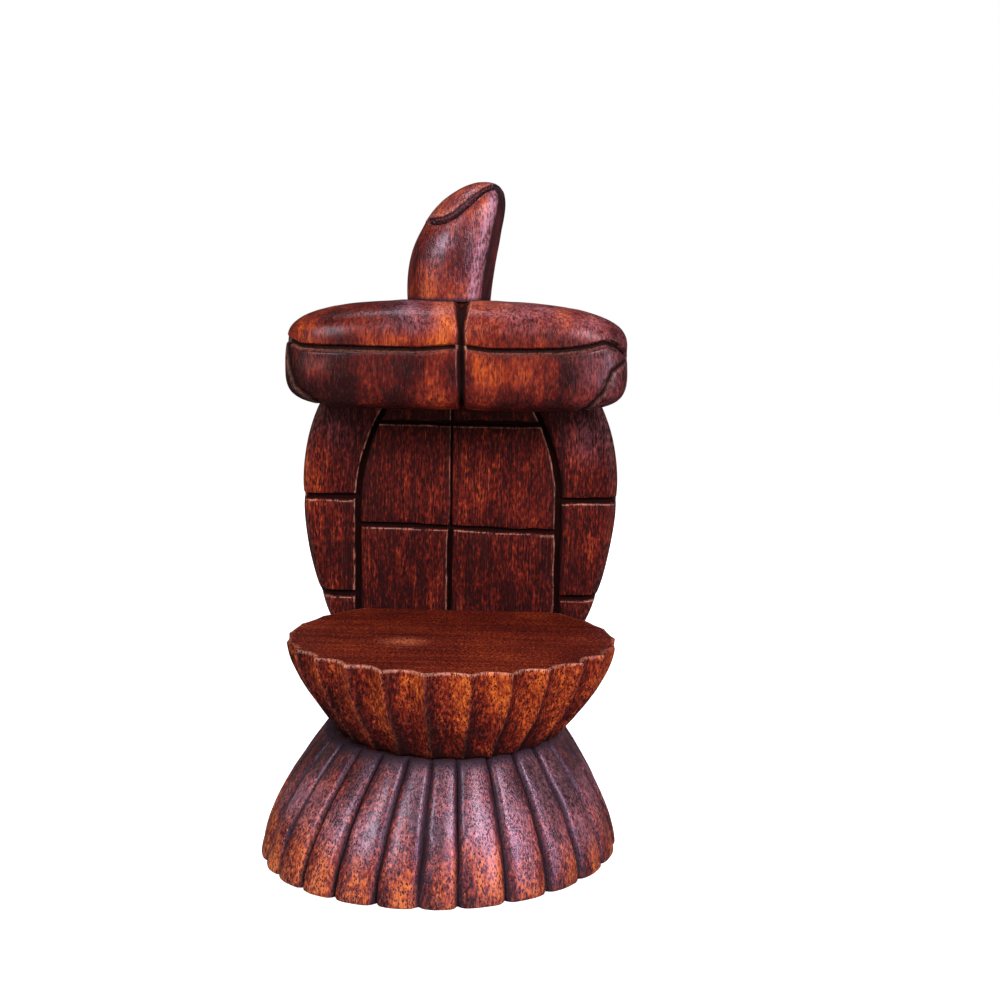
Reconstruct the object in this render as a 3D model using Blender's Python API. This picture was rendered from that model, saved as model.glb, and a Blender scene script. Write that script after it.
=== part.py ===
"""Carved hardwood headrest in the form of a turtle.

A reeded foot carries a fluted bowl with a flat top.  Behind the bowl stands an oval shell
panel with carved plates.  The folded front flippers lie across the top of the panel as one
crossbar, and a head stands on the crossbar.  Round dowels in blind holes join the carvings.

Lengths are in metres.  +Z is up, the front is -Y, and the origin is the middle of the
foot's underside.
"""

import math

import bmesh
import bpy
from mathutils import Matrix, Vector

GAP = 0.0003

FOOT_HEIGHT = 0.0424
FOOT_HALF_WIDTH = 0.0618
FOOT_HALF_DEPTH = 0.0633
FOOT_EDGE_ROUND = 0.0008
FOOT_SPREAD_POWER = 1.6
FOOT_LEFT_POWER = 2.3
FOOT_RIGHT_POWER = 1.86
WAIST_SIDE = 0.0005
WAIST_HALF_WIDTH = 0.0393
WAIST_FRONT = -0.0437
WAIST_BACK = 0.062
WAIST_BACK_POWER = 2.8
REED_DEPTH = 0.0014
REED_VALLEYS = (-158, -145, -131, -117.5, -103.5, -92, -80, -64.5, -50, -36, -22, -5)
REEDS_BEHIND = 15

SEAT_SIDE = 0.0031
SEAT_HEIGHT = 0.0302
SEAT_HALF_WIDTH = 0.0571
SEAT_FRONT = -0.0522
SEAT_UNCUT_BACK = 0.0580
SEAT_FOOT_UNCUT_BACK = 0.050
SEAT_SPREAD_POWER = 1.6
SEAT_RIM_ROUND = 0.0008
CHANNEL_DEPTH_TOP = 0.0028
CHANNEL_DEPTH_FOOT = 0.0014
CHANNEL_CRESTS = (-153, -139, -124.5, -110.8, -96, -81, -67.3, -54, -38.5, -24, -10)
CHANNELS_BEHIND = 15
STEPS_PER_FLUTE = 4

SHELL_SIDE = 0.0028
SHELL_FRONT = 0.0451
SHELL_THICKNESS = 0.0132
SHELL_HALF_WIDTH = 0.0591
SHELL_WIDEST_ABOVE_SEAT = 0.0474
SHELL_UPPER_REACH = 0.0658
SHELL_LOWER_REACH = 0.090
SHELL_MARGIN_ROUND = 0.0045
SHELL_STEPS = 64
GROOVE_RADIUS = 0.0012
GROOVE_SINK = 0.0005
GROOVE_START_BELOW_SEAT = 0.0048
SPINE_GROOVE_SIDE = -0.003
PLATE_GROOVE_HALF_WIDTH = 0.0374
PLATE_GROOVE_TOP_HALF_WIDTH = 0.0270
PLATE_GROOVE_BEND_ABOVE_SEAT = 0.0410
MIDDLE_GROOVES_ABOVE_SEAT = (0.0296, 0.0672)
SIDE_GROOVES_ABOVE_SEAT = (0.0040, 0.0410)

BAR_SIDE = 0.0022
BAR_HALF_LENGTH = 0.0604
BAR_HEIGHT = 0.0388
BAR_FRONT_REACH = 0.0186
BAR_BACK_REACH = 0.0200
BAR_BACK_GAP_TO_AXIS = 0.0188
BAR_TOP_ABOVE_SEAT = 0.1159
BAR_UPPER_POWER = 2.9
BAR_LOWER_POWER = 5.5
BAR_BACK_POWER = 5.0
BAR_STEPS_ROUND = 32
BAR_STEPS_ALONG = 20
FOLD_SIDE = 0.0022
FOLD_RADIUS = 0.0024
FOLD_DEPTH = 0.0026
LIP_RADIUS = 0.0013
LIP_ABOVE_AXIS = 0.0032
LIP_RISE = 0.0030
LIP_RISE_POWER = 4

HEAD_SIDE = -0.0012
HEAD_HEIGHT = 0.0426
HEAD_HALF_WIDTH = 0.0150
HEAD_HALF_DEPTH = 0.0125
HEAD_BEHIND_BAR_AXIS = 0.0048
HEAD_LEAN = 0.0125
HEAD_LEAN_POWER = 2.2
HEAD_BULGE = 0.04
HEAD_BULGE_TOP_SHARE = 0.6
HEAD_TIP_POWER = 4.6
HEAD_SEAT_SINK = 0.0010
HEAD_SEAT_CLEARANCE = 0.0009
HEAD_STEPS = 28
HEAD_LEVELS = 11
MOUTH_RADIUS = 0.0010
MOUTH_SHARE_LEFT = 0.69
MOUTH_SHARE_RIGHT = 0.92
MOUTH_ACROSS_LEFT = -1.0
MOUTH_ACROSS_RIGHT = 0.9

DOWEL_RADIUS = 0.0030
DOWEL_STEPS = 24
FOOT_DOWEL_SPREAD = 0.020
FOOT_DOWEL_DEPTH = 0.012
SHELL_DOWEL_SPREAD = 0.014
SHELL_DOWEL_IN_SHELL = 0.0080
SHELL_DOWEL_IN_SEAT = 0.012
SHELL_DOWEL_BELOW_SEAT_TOP = 0.0150
BAR_DOWEL_SPREAD = 0.024
BAR_DOWEL_IN_BAR = 0.012
HEAD_DOWEL_DEPTH = 0.012

SEAT_FOOT = FOOT_HEIGHT + GAP
SEAT_TOP = SEAT_FOOT + SEAT_HEIGHT
SEAT_BACK = SHELL_FRONT - GAP
SHELL_WIDEST = SEAT_TOP + SHELL_WIDEST_ABOVE_SEAT
BAR_TOP = SEAT_TOP + BAR_TOP_ABOVE_SEAT
BAR_AXIS_Z = BAR_TOP - BAR_HEIGHT / 2
BAR_BACK = SHELL_FRONT - GAP
BAR_AXIS_Y = BAR_BACK - BAR_BACK_GAP_TO_AXIS
HEAD_SEAT_Z = BAR_TOP - HEAD_SEAT_SINK
HEAD_FOOT = HEAD_SEAT_Z + GAP
HEAD_Y = BAR_AXIS_Y + HEAD_BEHIND_BAR_AXIS
SHELL_DOWEL_Z = SEAT_TOP - SHELL_DOWEL_BELOW_SEAT_TOP


def clear_scene():
    for obj in list(bpy.data.objects):
        bpy.data.objects.remove(obj, do_unlink=True)


def make_collection(name):
    collection = bpy.data.collections.new(name)
    bpy.context.scene.collection.children.link(collection)
    return collection


def make_wood(name, colour, roughness):
    material = bpy.data.materials.new(name)
    material.use_nodes = True
    shader = material.node_tree.nodes["Principled BSDF"]
    shader.inputs["Base Color"].default_value = (*colour, 1.0)
    shader.inputs["Roughness"].default_value = roughness
    shader.inputs["Metallic"].default_value = 0.0
    return material


def make_object(name, bm, collection, material=None):
    """Takes the bmesh over into a new object with its faces pointing out."""
    bmesh.ops.recalc_face_normals(bm, faces=bm.faces)
    mesh = bpy.data.meshes.new(name)
    bm.to_mesh(mesh)
    bm.free()
    mesh.shade_smooth()
    mesh.set_sharp_from_angle(angle=math.radians(35))
    obj = bpy.data.objects.new(name, mesh)
    collection.objects.link(obj)
    if material:
        obj.data.materials.append(material)
    return obj


def make_cutter(name, bm, cutters):
    obj = make_object(name, bm, cutters)
    obj.hide_render = True
    obj.display_type = "WIRE"
    return obj


def cut(obj, cutter):
    modifier = obj.modifiers.new(cutter.name, "BOOLEAN")
    modifier.operation = "DIFFERENCE"
    modifier.solver = "EXACT"
    modifier.object = cutter


def blend(start, end, share):
    return start + (end - start) * share


def flute_angles(front_edges, count_behind):
    """The edges of every flute round a foot or bowl, in degrees, those behind evenly spread."""
    step = (front_edges[0] + 360 - front_edges[-1]) / count_behind
    behind = [front_edges[-1] + step * i for i in range(1, count_behind)]
    return list(front_edges) + behind


def flute_points(edges):
    """(angle in radians, share of the way across its flute) of each point round a level."""
    points = []
    for start, end in zip(edges, edges[1:] + [edges[0] + 360]):
        for step in range(STEPS_PER_FLUTE):
            share = step / STEPS_PER_FLUTE
            points.append((math.radians(blend(start, end, share)), share))
    return points


def oval_point(angle, level, inset):
    """A point of an oval level, widest at y = 0.  A power over 2 makes a corner squarer."""
    behind = math.sin(angle) > 0
    corner = "right_power" if math.cos(angle) > 0 else "left_power"
    power = level["back_power"] if behind else level[corner]
    reach = level["back"] if behind else level["front"]
    side = math.copysign(abs(math.cos(angle)) ** (2 / power), math.cos(angle))
    along = abs(math.sin(angle)) ** (2 / power)
    x = level["side"] + (level["half_width"] - inset) * side
    y = (reach - math.copysign(inset, reach)) * along
    return Vector((x, y, level["z"]))


def loft(rings):
    """A closed solid through rings of equal point counts, flat at both ends."""
    bm = bmesh.new()
    rows = [[bm.verts.new(point) for point in ring] for ring in rings]
    for lower, upper in zip(rows, rows[1:]):
        for i in range(len(lower)):
            j = (i + 1) % len(lower)
            bm.faces.new((lower[i], lower[j], upper[j], upper[i]))
    bm.faces.new(rows[0][::-1])
    bm.faces.new(rows[-1])
    return bm


def foot_level(height_share, inset):
    spread = 1 - height_share**FOOT_SPREAD_POWER
    return {
        "z": FOOT_HEIGHT * height_share,
        "side": blend(WAIST_SIDE, 0.0, spread),
        "half_width": blend(WAIST_HALF_WIDTH, FOOT_HALF_WIDTH, spread) - inset,
        "front": blend(WAIST_FRONT, -FOOT_HALF_DEPTH, spread) + inset,
        "back": blend(WAIST_BACK, FOOT_HALF_DEPTH, spread) - inset,
        "left_power": blend(2.0, FOOT_LEFT_POWER, spread),
        "right_power": blend(2.0, FOOT_RIGHT_POWER, spread),
        "back_power": blend(WAIST_BACK_POWER, 2.0, spread),
    }


def make_foot(parts, material):
    """The bell-shaped foot, with rounded reeds that meet in sharp valleys."""
    points = flute_points(flute_angles(REED_VALLEYS, REEDS_BEHIND))
    levels = [foot_level(0.0, FOOT_EDGE_ROUND)]
    levels += [foot_level(share, 0.0) for share in (0.03, 0.2, 0.4, 0.6, 0.8, 1.0)]
    rings = []
    for level in levels:
        ring = []
        for angle, share in points:
            ring.append(oval_point(angle, level, REED_DEPTH * (1 - math.sin(math.pi * share))))
        rings.append(ring)
    return make_object("base_foot", loft(rings), parts, material)


def seat_level(height_share, inset):
    spread = 1 - (1 - height_share) ** SEAT_SPREAD_POWER
    return {
        "z": SEAT_FOOT + SEAT_HEIGHT * height_share,
        "side": SEAT_SIDE,
        "half_width": blend(WAIST_HALF_WIDTH, SEAT_HALF_WIDTH, spread) - inset,
        "front": blend(WAIST_FRONT, SEAT_FRONT, spread) + inset,
        "back": blend(SEAT_FOOT_UNCUT_BACK, SEAT_UNCUT_BACK, spread) - inset,
        "left_power": 2.0,
        "right_power": 2.0,
        "back_power": 2.0,
        "channel": blend(CHANNEL_DEPTH_FOOT, CHANNEL_DEPTH_TOP, height_share),
    }


def make_seat(parts, material):
    """The bowl: hollow channels with sharp crests, a flat top and a back cut flat."""
    points = flute_points(flute_angles(CHANNEL_CRESTS, CHANNELS_BEHIND))
    levels = [seat_level(share, 0.0) for share in (0.0, 0.2, 0.4, 0.6, 0.8, 0.95)]
    levels += [seat_level(1.0, SEAT_RIM_ROUND)]
    rings = []
    for level in levels:
        ring = []
        for angle, share in points:
            ring.append(oval_point(angle, level, level["channel"] * math.sin(math.pi * share)))
        rings.append(ring)
    bm = loft(rings)
    cut_flat(bm, Vector((0, SEAT_BACK, 0)), Vector((0, 1, 0)))
    return make_object("seat_bowl", bm, parts, material)


def cut_flat(bm, point, normal):
    """Takes off what lies beyond the plane and closes the cut with a flat face."""
    geometry = bm.verts[:] + bm.edges[:] + bm.faces[:]
    found = bmesh.ops.bisect_plane(
        bm, geom=geometry, dist=1e-7, plane_co=point, plane_no=normal, clear_outer=True
    )
    edges = [item for item in found["geom_cut"] if isinstance(item, bmesh.types.BMEdge)]
    bmesh.ops.contextual_create(bm, geom=edges)


def tube(points, radius, name, cutters):
    """A round cutter that follows the points, as a closed mesh."""
    curve = bpy.data.curves.new(name, "CURVE")
    curve.dimensions = "3D"
    curve.bevel_depth = radius
    curve.bevel_resolution = 2
    curve.use_fill_caps = True
    spline = curve.splines.new("POLY")
    spline.points.add(len(points) - 1)
    for place, point in zip(spline.points, points):
        place.co = (*point, 1.0)
    obj = bpy.data.objects.new(name, curve)
    cutters.objects.link(obj)
    graph = bpy.context.evaluated_depsgraph_get()
    mesh = bpy.data.meshes.new_from_object(obj.evaluated_get(graph))
    bm = bmesh.new()
    bm.from_mesh(mesh)
    bmesh.ops.remove_doubles(bm, verts=bm.verts, dist=1e-6)
    bpy.data.objects.remove(obj, do_unlink=True)
    return make_cutter(name, bm, cutters)


def shell_half_width(z):
    """Half the width of the shell panel at a height."""
    reach = SHELL_UPPER_REACH if z > SHELL_WIDEST else SHELL_LOWER_REACH
    return SHELL_HALF_WIDTH * math.sqrt(max(0.0, 1 - ((z - SHELL_WIDEST) / reach) ** 2))


def plate_groove_half_width(z):
    """How far each long plate groove stands from the middle of the shell at a height."""
    bend = SEAT_TOP + PLATE_GROOVE_BEND_ABOVE_SEAT
    if z <= bend:
        return PLATE_GROOVE_HALF_WIDTH
    share = (z - bend) / (BAR_AXIS_Z - BAR_HEIGHT / 2 - bend)
    return blend(PLATE_GROOVE_HALF_WIDTH, PLATE_GROOVE_TOP_HALF_WIDTH, share**2)


def shell_grooves(cutters):
    """Cutters for the plates: a spine groove, two bowed ones and short ones across."""
    y = SHELL_FRONT + GROOVE_SINK
    low = SEAT_TOP - GROOVE_START_BELOW_SEAT
    high = BAR_AXIS_Z
    spine = SHELL_SIDE + SPINE_GROOVE_SIDE
    grooves = [tube([(spine, y, low), (spine, y, high)], GROOVE_RADIUS, "cut_spine", cutters)]
    for side, label in ((-1, "left"), (1, "right")):
        heights = [blend(low, high, i / 10) for i in range(11)]
        path = [(SHELL_SIDE + side * plate_groove_half_width(z), y, z) for z in heights]
        grooves.append(tube(path, GROOVE_RADIUS, f"cut_plate_{label}", cutters))
        for number, above in enumerate(SIDE_GROOVES_ABOVE_SEAT):
            z = SEAT_TOP + above
            inner = SHELL_SIDE + side * plate_groove_half_width(z)
            outer = SHELL_SIDE + side * (shell_half_width(z) + GROOVE_RADIUS)
            name = f"cut_side_{label}_{number}"
            grooves.append(tube([(inner, y, z), (outer, y, z)], GROOVE_RADIUS, name, cutters))
    for number, above in enumerate(MIDDLE_GROOVES_ABOVE_SEAT):
        z = SEAT_TOP + above
        reach = plate_groove_half_width(z)
        ends = [(SHELL_SIDE - reach, y, z), (SHELL_SIDE + reach, y, z)]
        grooves.append(tube(ends, GROOVE_RADIUS, f"cut_middle_{number}", cutters))
    return grooves


def make_shell(parts, cutters, material):
    """The upright oval panel behind the bowl, standing on the back of the foot."""
    bm = bmesh.new()
    bmesh.ops.create_circle(bm, cap_ends=True, radius=1.0, segments=SHELL_STEPS)
    for vert in bm.verts:
        reach = SHELL_UPPER_REACH if vert.co.y > 0 else SHELL_LOWER_REACH
        x = SHELL_SIDE + vert.co.x * SHELL_HALF_WIDTH
        vert.co = Vector((x, SHELL_FRONT, SHELL_WIDEST + vert.co.y * reach))
    front = bm.faces[:]
    extruded = bmesh.ops.extrude_face_region(bm, geom=front, use_keep_orig=True)
    moved = [item for item in extruded["geom"] if isinstance(item, bmesh.types.BMVert)]
    bmesh.ops.translate(bm, verts=moved, vec=(0, SHELL_THICKNESS, 0))
    bmesh.ops.recalc_face_normals(bm, faces=bm.faces)
    rims = [edge for edge in bm.edges if edge.calc_face_angle(0.0) > math.radians(60)]
    bmesh.ops.bevel(
        bm,
        geom=rims,
        offset=SHELL_MARGIN_ROUND,
        offset_type="OFFSET",
        affect="EDGES",
        segments=3,
        profile=0.5,
        material=-1,
    )
    cut_flat(bm, Vector((0, 0, SEAT_FOOT)), Vector((0, 0, -1)))
    shell = make_object("shell_back", bm, parts, material)
    for groove in shell_grooves(cutters):
        cut(shell, groove)
    return shell


def bar_point(direction):
    """The point of the crossbar's rounded block that a sphere's point stands for."""
    upper = (direction.z + 1) / 2
    power = blend(BAR_LOWER_POWER, BAR_UPPER_POWER, upper * upper * (3 - 2 * upper))
    back = direction.y > 0
    cross_power = BAR_BACK_POWER if back else power
    reach = BAR_BACK_REACH if back else BAR_FRONT_REACH
    cross = abs(direction.y) ** cross_power + abs(direction.z) ** cross_power
    size = (cross ** (power / cross_power) + abs(direction.x) ** power) ** (1 / power)
    x = BAR_SIDE + BAR_HALF_LENGTH * direction.x / size
    y = BAR_AXIS_Y + reach * direction.y / size
    z = BAR_AXIS_Z + BAR_HEIGHT / 2 * direction.z / size
    return Vector((x, y, z))


def lip_height(x):
    """The height of the long groove that parts each flipper, above the crossbar's axis."""
    share = min(1.0, abs(x - BAR_SIDE) / BAR_HALF_LENGTH)
    return LIP_ABOVE_AXIS + LIP_RISE * share**LIP_RISE_POWER


def bar_surface(side_share, height):
    """A point of the crossbar's front surface for a share of its length and a height."""
    up = height / (BAR_HEIGHT / 2)
    cross = max(0.0, 1 - abs(side_share) ** BAR_UPPER_POWER - abs(up) ** BAR_UPPER_POWER)
    y = BAR_AXIS_Y - BAR_FRONT_REACH * cross ** (1 / BAR_UPPER_POWER)
    return Vector((BAR_SIDE + side_share * BAR_HALF_LENGTH, y, BAR_AXIS_Z + height))


def bar_cutters(cutters):
    """The upright fold between the two flippers and the long groove in each of them."""
    fold_x = BAR_SIDE + FOLD_SIDE
    front = BAR_AXIS_Y - BAR_FRONT_REACH + FOLD_DEPTH - FOLD_RADIUS
    low = BAR_AXIS_Z - BAR_HEIGHT / 2 - FOLD_RADIUS
    high = BAR_TOP + FOLD_RADIUS
    fold = tube([(fold_x, front, low), (fold_x, front, high)], FOLD_RADIUS, "cut_fold", cutters)
    path = []
    for i in range(25):
        share = blend(-1.0, 1.0, i / 24)
        x = BAR_SIDE + share * BAR_HALF_LENGTH
        path.append(bar_surface(share, lip_height(x)))
    lip = tube(path, LIP_RADIUS, "cut_lips", cutters)
    return fold, lip


def head_outline(grow):
    """The oval that the head stands on, as (x, y) pairs."""
    pairs = []
    for i in range(HEAD_STEPS):
        angle = 2 * math.pi * i / HEAD_STEPS
        x = HEAD_SIDE + (HEAD_HALF_WIDTH + grow) * math.cos(angle)
        pairs.append((x, HEAD_Y + (HEAD_HALF_DEPTH + grow) * math.sin(angle)))
    return pairs


def head_seat_cutter(cutters):
    pairs = head_outline(HEAD_SEAT_CLEARANCE)
    levels = (HEAD_SEAT_Z, BAR_TOP + HEAD_SEAT_SINK)
    rings = [[Vector((x, y, z)) for x, y in pairs] for z in levels]
    return make_cutter("cut_head_seat", loft(rings), cutters)


def make_bar(parts, cutters, material):
    """The crossbar: two folded flippers carved from one rounded block."""
    bm = bmesh.new()
    bmesh.ops.create_uvsphere(bm, u_segments=BAR_STEPS_ROUND, v_segments=BAR_STEPS_ALONG, radius=1)
    bmesh.ops.rotate(bm, verts=bm.verts, matrix=Matrix.Rotation(math.pi / 2, 3, "Y"))
    for vert in bm.verts:
        vert.co = bar_point(vert.co)
    cut_flat(bm, Vector((0, BAR_BACK, 0)), Vector((0, 1, 0)))
    bar = make_object("crossbar", bm, parts, material)
    for cutter in bar_cutters(cutters):
        cut(bar, cutter)
    cut(bar, head_seat_cutter(cutters))
    return bar


def head_level(height_share):
    """(middle, half width, half depth) of the head at a share of its height."""
    bulge_share = min(1.0, height_share / HEAD_BULGE_TOP_SHARE)
    bulge = 1 + HEAD_BULGE * math.sin(math.pi * bulge_share)
    taper = math.sqrt(max(0.0, 1 - height_share**HEAD_TIP_POWER))
    middle = HEAD_SIDE + HEAD_LEAN * height_share**HEAD_LEAN_POWER
    return middle, HEAD_HALF_WIDTH * bulge * taper, HEAD_HALF_DEPTH * bulge * taper


def make_head(parts, cutters, material):
    """The head: a blunt thumb-like form that leans to one side, with a carved mouth."""
    rings = []
    for i in range(HEAD_LEVELS):
        share = math.sin(math.pi / 2 * i / HEAD_LEVELS)
        middle, half_width, half_depth = head_level(share)
        ring = []
        for step in range(HEAD_STEPS):
            angle = 2 * math.pi * step / HEAD_STEPS
            x = middle + half_width * math.cos(angle)
            y = HEAD_Y + half_depth * math.sin(angle)
            ring.append(Vector((x, y, HEAD_FOOT + HEAD_HEIGHT * share)))
        rings.append(ring)
    head = make_object("head", loft(rings), parts, material)
    cut(head, mouth_cutter(cutters))
    return head


def mouth_cutter(cutters):
    """The mouth: a groove that climbs from one cheek to the tip."""
    path = []
    for i in range(9):
        along = i / 8
        share = blend(MOUTH_SHARE_LEFT, MOUTH_SHARE_RIGHT, along * along * (3 - 2 * along))
        middle, half_width, half_depth = head_level(share)
        across = blend(MOUTH_ACROSS_LEFT, MOUTH_ACROSS_RIGHT, along)
        depth = half_depth * math.sqrt(max(0.0, 1 - across * across))
        x = middle + half_width * across
        path.append((x, HEAD_Y - depth, HEAD_FOOT + HEAD_HEIGHT * share))
    return tube(path, MOUTH_RADIUS, "cut_mouth", cutters)


def rod(start, end, radius):
    """A closed round rod from one point to another."""
    axis = Vector(end) - Vector(start)
    bm = bmesh.new()
    bmesh.ops.create_cone(
        bm,
        cap_ends=True,
        segments=DOWEL_STEPS,
        radius1=radius,
        radius2=radius,
        depth=axis.length,
    )
    turn = Vector((0, 0, 1)).rotation_difference(axis).to_matrix().to_4x4()
    place = Matrix.Translation((Vector(start) + Vector(end)) / 2) @ turn
    bmesh.ops.transform(bm, matrix=place, verts=bm.verts)
    return bm


def make_dowel(name, start, end, holders, parts, cutters, material):
    """A dowel and its blind holes: the holes are wider by the gap and deeper at both ends."""
    step = (Vector(end) - Vector(start)).normalized() * GAP
    hole = rod(Vector(start) - step, Vector(end) + step, DOWEL_RADIUS + GAP)
    cutter = make_cutter(f"cut_{name}", hole, cutters)
    for holder in holders:
        cut(holder, cutter)
    return make_object(name, rod(start, end, DOWEL_RADIUS), parts, material)


def make_dowels(foot, seat, shell, bar, head, parts, cutters, material):
    for side, label in ((-1, "left"), (1, "right")):
        x = side * FOOT_DOWEL_SPREAD
        start = (x, 0, FOOT_HEIGHT - FOOT_DOWEL_DEPTH)
        end = (x, 0, SEAT_FOOT + FOOT_DOWEL_DEPTH)
        name = f"foot_dowel_{label}"
        make_dowel(name, start, end, (foot, seat), parts, cutters, material)

        x = SHELL_SIDE + side * SHELL_DOWEL_SPREAD
        start = (x, SEAT_BACK - SHELL_DOWEL_IN_SEAT, SHELL_DOWEL_Z)
        end = (x, SHELL_FRONT + SHELL_DOWEL_IN_SHELL, SHELL_DOWEL_Z)
        name = f"shell_dowel_{label}"
        make_dowel(name, start, end, (seat, shell), parts, cutters, material)

        x = BAR_SIDE + side * BAR_DOWEL_SPREAD
        start = (x, BAR_BACK - BAR_DOWEL_IN_BAR, BAR_AXIS_Z)
        end = (x, SHELL_FRONT + SHELL_DOWEL_IN_SHELL, BAR_AXIS_Z)
        name = f"crossbar_dowel_{label}"
        make_dowel(name, start, end, (bar, shell), parts, cutters, material)

    start = (HEAD_SIDE, HEAD_Y, HEAD_SEAT_Z - HEAD_DOWEL_DEPTH)
    end = (HEAD_SIDE, HEAD_Y, HEAD_FOOT + HEAD_DOWEL_DEPTH)
    make_dowel("head_dowel", start, end, (bar, head), parts, cutters, material)


def main():
    clear_scene()
    parts = make_collection("turtle_headrest")
    cutters = make_collection("cutters")
    foot = make_foot(parts, make_wood("foot_wood", (0.130, 0.033, 0.022), 0.38))
    seat = make_seat(parts, make_wood("seat_wood", (0.150, 0.038, 0.018), 0.36))
    shell = make_shell(parts, cutters, make_wood("shell_wood", (0.105, 0.026, 0.018), 0.40))
    bar = make_bar(parts, cutters, make_wood("crossbar_wood", (0.155, 0.042, 0.020), 0.32))
    head = make_head(parts, cutters, make_wood("head_wood", (0.160, 0.044, 0.022), 0.32))
    dowel_wood = make_wood("dowel_wood", (0.380, 0.220, 0.110), 0.60)
    make_dowels(foot, seat, shell, bar, head, parts, cutters, dowel_wood)


main()
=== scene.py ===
"""The looks of a carved hardwood headrest in the form of a turtle.

Five carvings stand in for the plain bodies of the frame: a reeded foot, a fluted bowl with a
flat top, an upright shell panel cut into plates, a crossbar of two folded flippers and a
head.  Each is worked from a turned or gridded blank whose lines lie closest where it is
carved.  Every point also keeps how hollow it is, how much wear and painted highlight it
carries, its stain together with painted light and shade, and how much painted sheen lies
on it; the wood's colour, sheen and pores follow that.  The darkening in the hollows is
partly old wax and partly painted shade.

Lengths are in metres.  +Z is up, the front is -Y, and the origin is the middle of the
foot's underside.
"""

import itertools
import math

import bmesh
import bpy
import numpy as np
from bpy.props import FloatProperty, FloatVectorProperty, PointerProperty
from bpy.types import Operator, Panel, PropertyGroup
from mathutils import Matrix, Vector


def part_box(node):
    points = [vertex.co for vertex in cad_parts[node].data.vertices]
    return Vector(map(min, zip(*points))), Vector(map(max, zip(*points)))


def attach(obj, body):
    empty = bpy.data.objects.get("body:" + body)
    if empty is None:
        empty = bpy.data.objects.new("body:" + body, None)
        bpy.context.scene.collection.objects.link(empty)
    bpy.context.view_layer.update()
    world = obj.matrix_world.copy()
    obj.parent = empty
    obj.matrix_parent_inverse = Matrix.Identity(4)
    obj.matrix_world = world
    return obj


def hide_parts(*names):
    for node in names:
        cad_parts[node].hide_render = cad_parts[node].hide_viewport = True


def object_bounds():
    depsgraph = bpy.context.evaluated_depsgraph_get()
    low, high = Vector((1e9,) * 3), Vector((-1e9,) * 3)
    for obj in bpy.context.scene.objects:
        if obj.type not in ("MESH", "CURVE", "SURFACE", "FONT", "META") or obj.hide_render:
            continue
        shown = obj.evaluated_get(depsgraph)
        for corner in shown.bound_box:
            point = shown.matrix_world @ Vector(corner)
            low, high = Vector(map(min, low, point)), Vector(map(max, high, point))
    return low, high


bl_info = {
    "name": "Turtle Headrest",
    "version": (1, 0, 0),
    "blender": (4, 5, 0),
    "location": "3D View > Sidebar > Headrest",
    "description": "Builds the carved pieces, the wood and the stage of a turtle headrest",
    "category": "Object",
}

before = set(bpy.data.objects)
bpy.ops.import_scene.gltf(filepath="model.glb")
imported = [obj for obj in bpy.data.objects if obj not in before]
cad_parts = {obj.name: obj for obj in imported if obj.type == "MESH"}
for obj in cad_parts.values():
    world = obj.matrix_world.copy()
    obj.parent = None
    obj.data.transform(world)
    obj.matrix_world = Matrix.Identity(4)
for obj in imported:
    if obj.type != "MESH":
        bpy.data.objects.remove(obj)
CAD_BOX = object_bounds()

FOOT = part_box("base_foot")
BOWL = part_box("seat_bowl")
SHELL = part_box("shell_back")
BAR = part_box("crossbar")
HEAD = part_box("head")

BAR_MIDDLE = (BAR[0] + BAR[1]) / 2
BAR_HALF = (BAR[1] - BAR[0]) / 2


# ---------------------------------------------------------------- measures


def blend(start, end, share):
    return start + (end - start) * share


def ease(low, high, value):
    """0 below low, 1 above high, and a smooth rise between them."""
    share = np.clip((value - low) / (high - low), 0.0, 1.0)
    return share * share * (3 - 2 * share)


def signed_power(value, power):
    return np.copysign(np.abs(value) ** power, value)


def patches(points, size, seed=0):
    """Smooth random values from -1 to 1, in patches about as wide as size."""
    cells = points / np.asarray(size) + seed * 17.0
    base = np.floor(cells)
    share = cells - base
    share = share * share * (3 - 2 * share)
    total = np.zeros(len(points))
    for corner in itertools.product((0, 1), repeat=3):
        spot = base + corner
        mixed = spot @ np.array((127.1, 311.7, 74.7)) + seed * 53.3
        value = np.sin(mixed) * 43758.5453
        value -= np.floor(value)
        weight = np.prod(np.where(corner, share, 1 - share), axis=1)
        total += weight * (value * 2 - 1)
    return total


def distance_to_path(across, up, path):
    """(distance, side) from each point to a line of straight pieces, side +1 to its left."""
    best = np.full(len(across), np.inf)
    side = np.zeros(len(across))
    for (x0, z0), (x1, z1) in zip(path, path[1:]):
        dx, dz = x1 - x0, z1 - z0
        share = np.clip(((across - x0) * dx + (up - z0) * dz) / (dx * dx + dz * dz), 0, 1)
        away = np.hypot(across - x0 - share * dx, up - z0 - share * dz)
        turn = np.sign(dx * (up - z0) - dz * (across - x0))
        side = np.where(away < best, turn, side)
        best = np.minimum(best, away)
    return best, side


# ---------------------------------------------------------------- blanks


def turned_blank(rows, steps):
    """A closed form of stacked rings round +Z that ends in points: height is the row."""
    bm = bmesh.new()
    line = []
    for row in range(rows):
        radius = 0.0 if row in (0, rows - 1) else 1.0
        line.append(bm.verts.new((radius, 0.0, row)))
    for lower, upper in zip(line, line[1:]):
        bm.edges.new((lower, upper))
    bmesh.ops.spin(
        bm,
        geom=bm.verts[:] + bm.edges[:],
        cent=(0, 0, 0),
        axis=(0, 0, 1),
        angle=2 * math.pi,
        steps=steps,
        use_merge=True,
    )
    bmesh.ops.remove_doubles(bm, verts=bm.verts, dist=1e-4)
    return bm


def rows_and_turns(bm):
    """(row, share of a turn) of each point of a turned blank."""
    points = np.array([vert.co for vert in bm.verts])
    turn = np.arctan2(points[:, 1], points[:, 0]) / (2 * math.pi) % 1.0
    return np.rint(points[:, 2]).astype(int), turn


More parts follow.
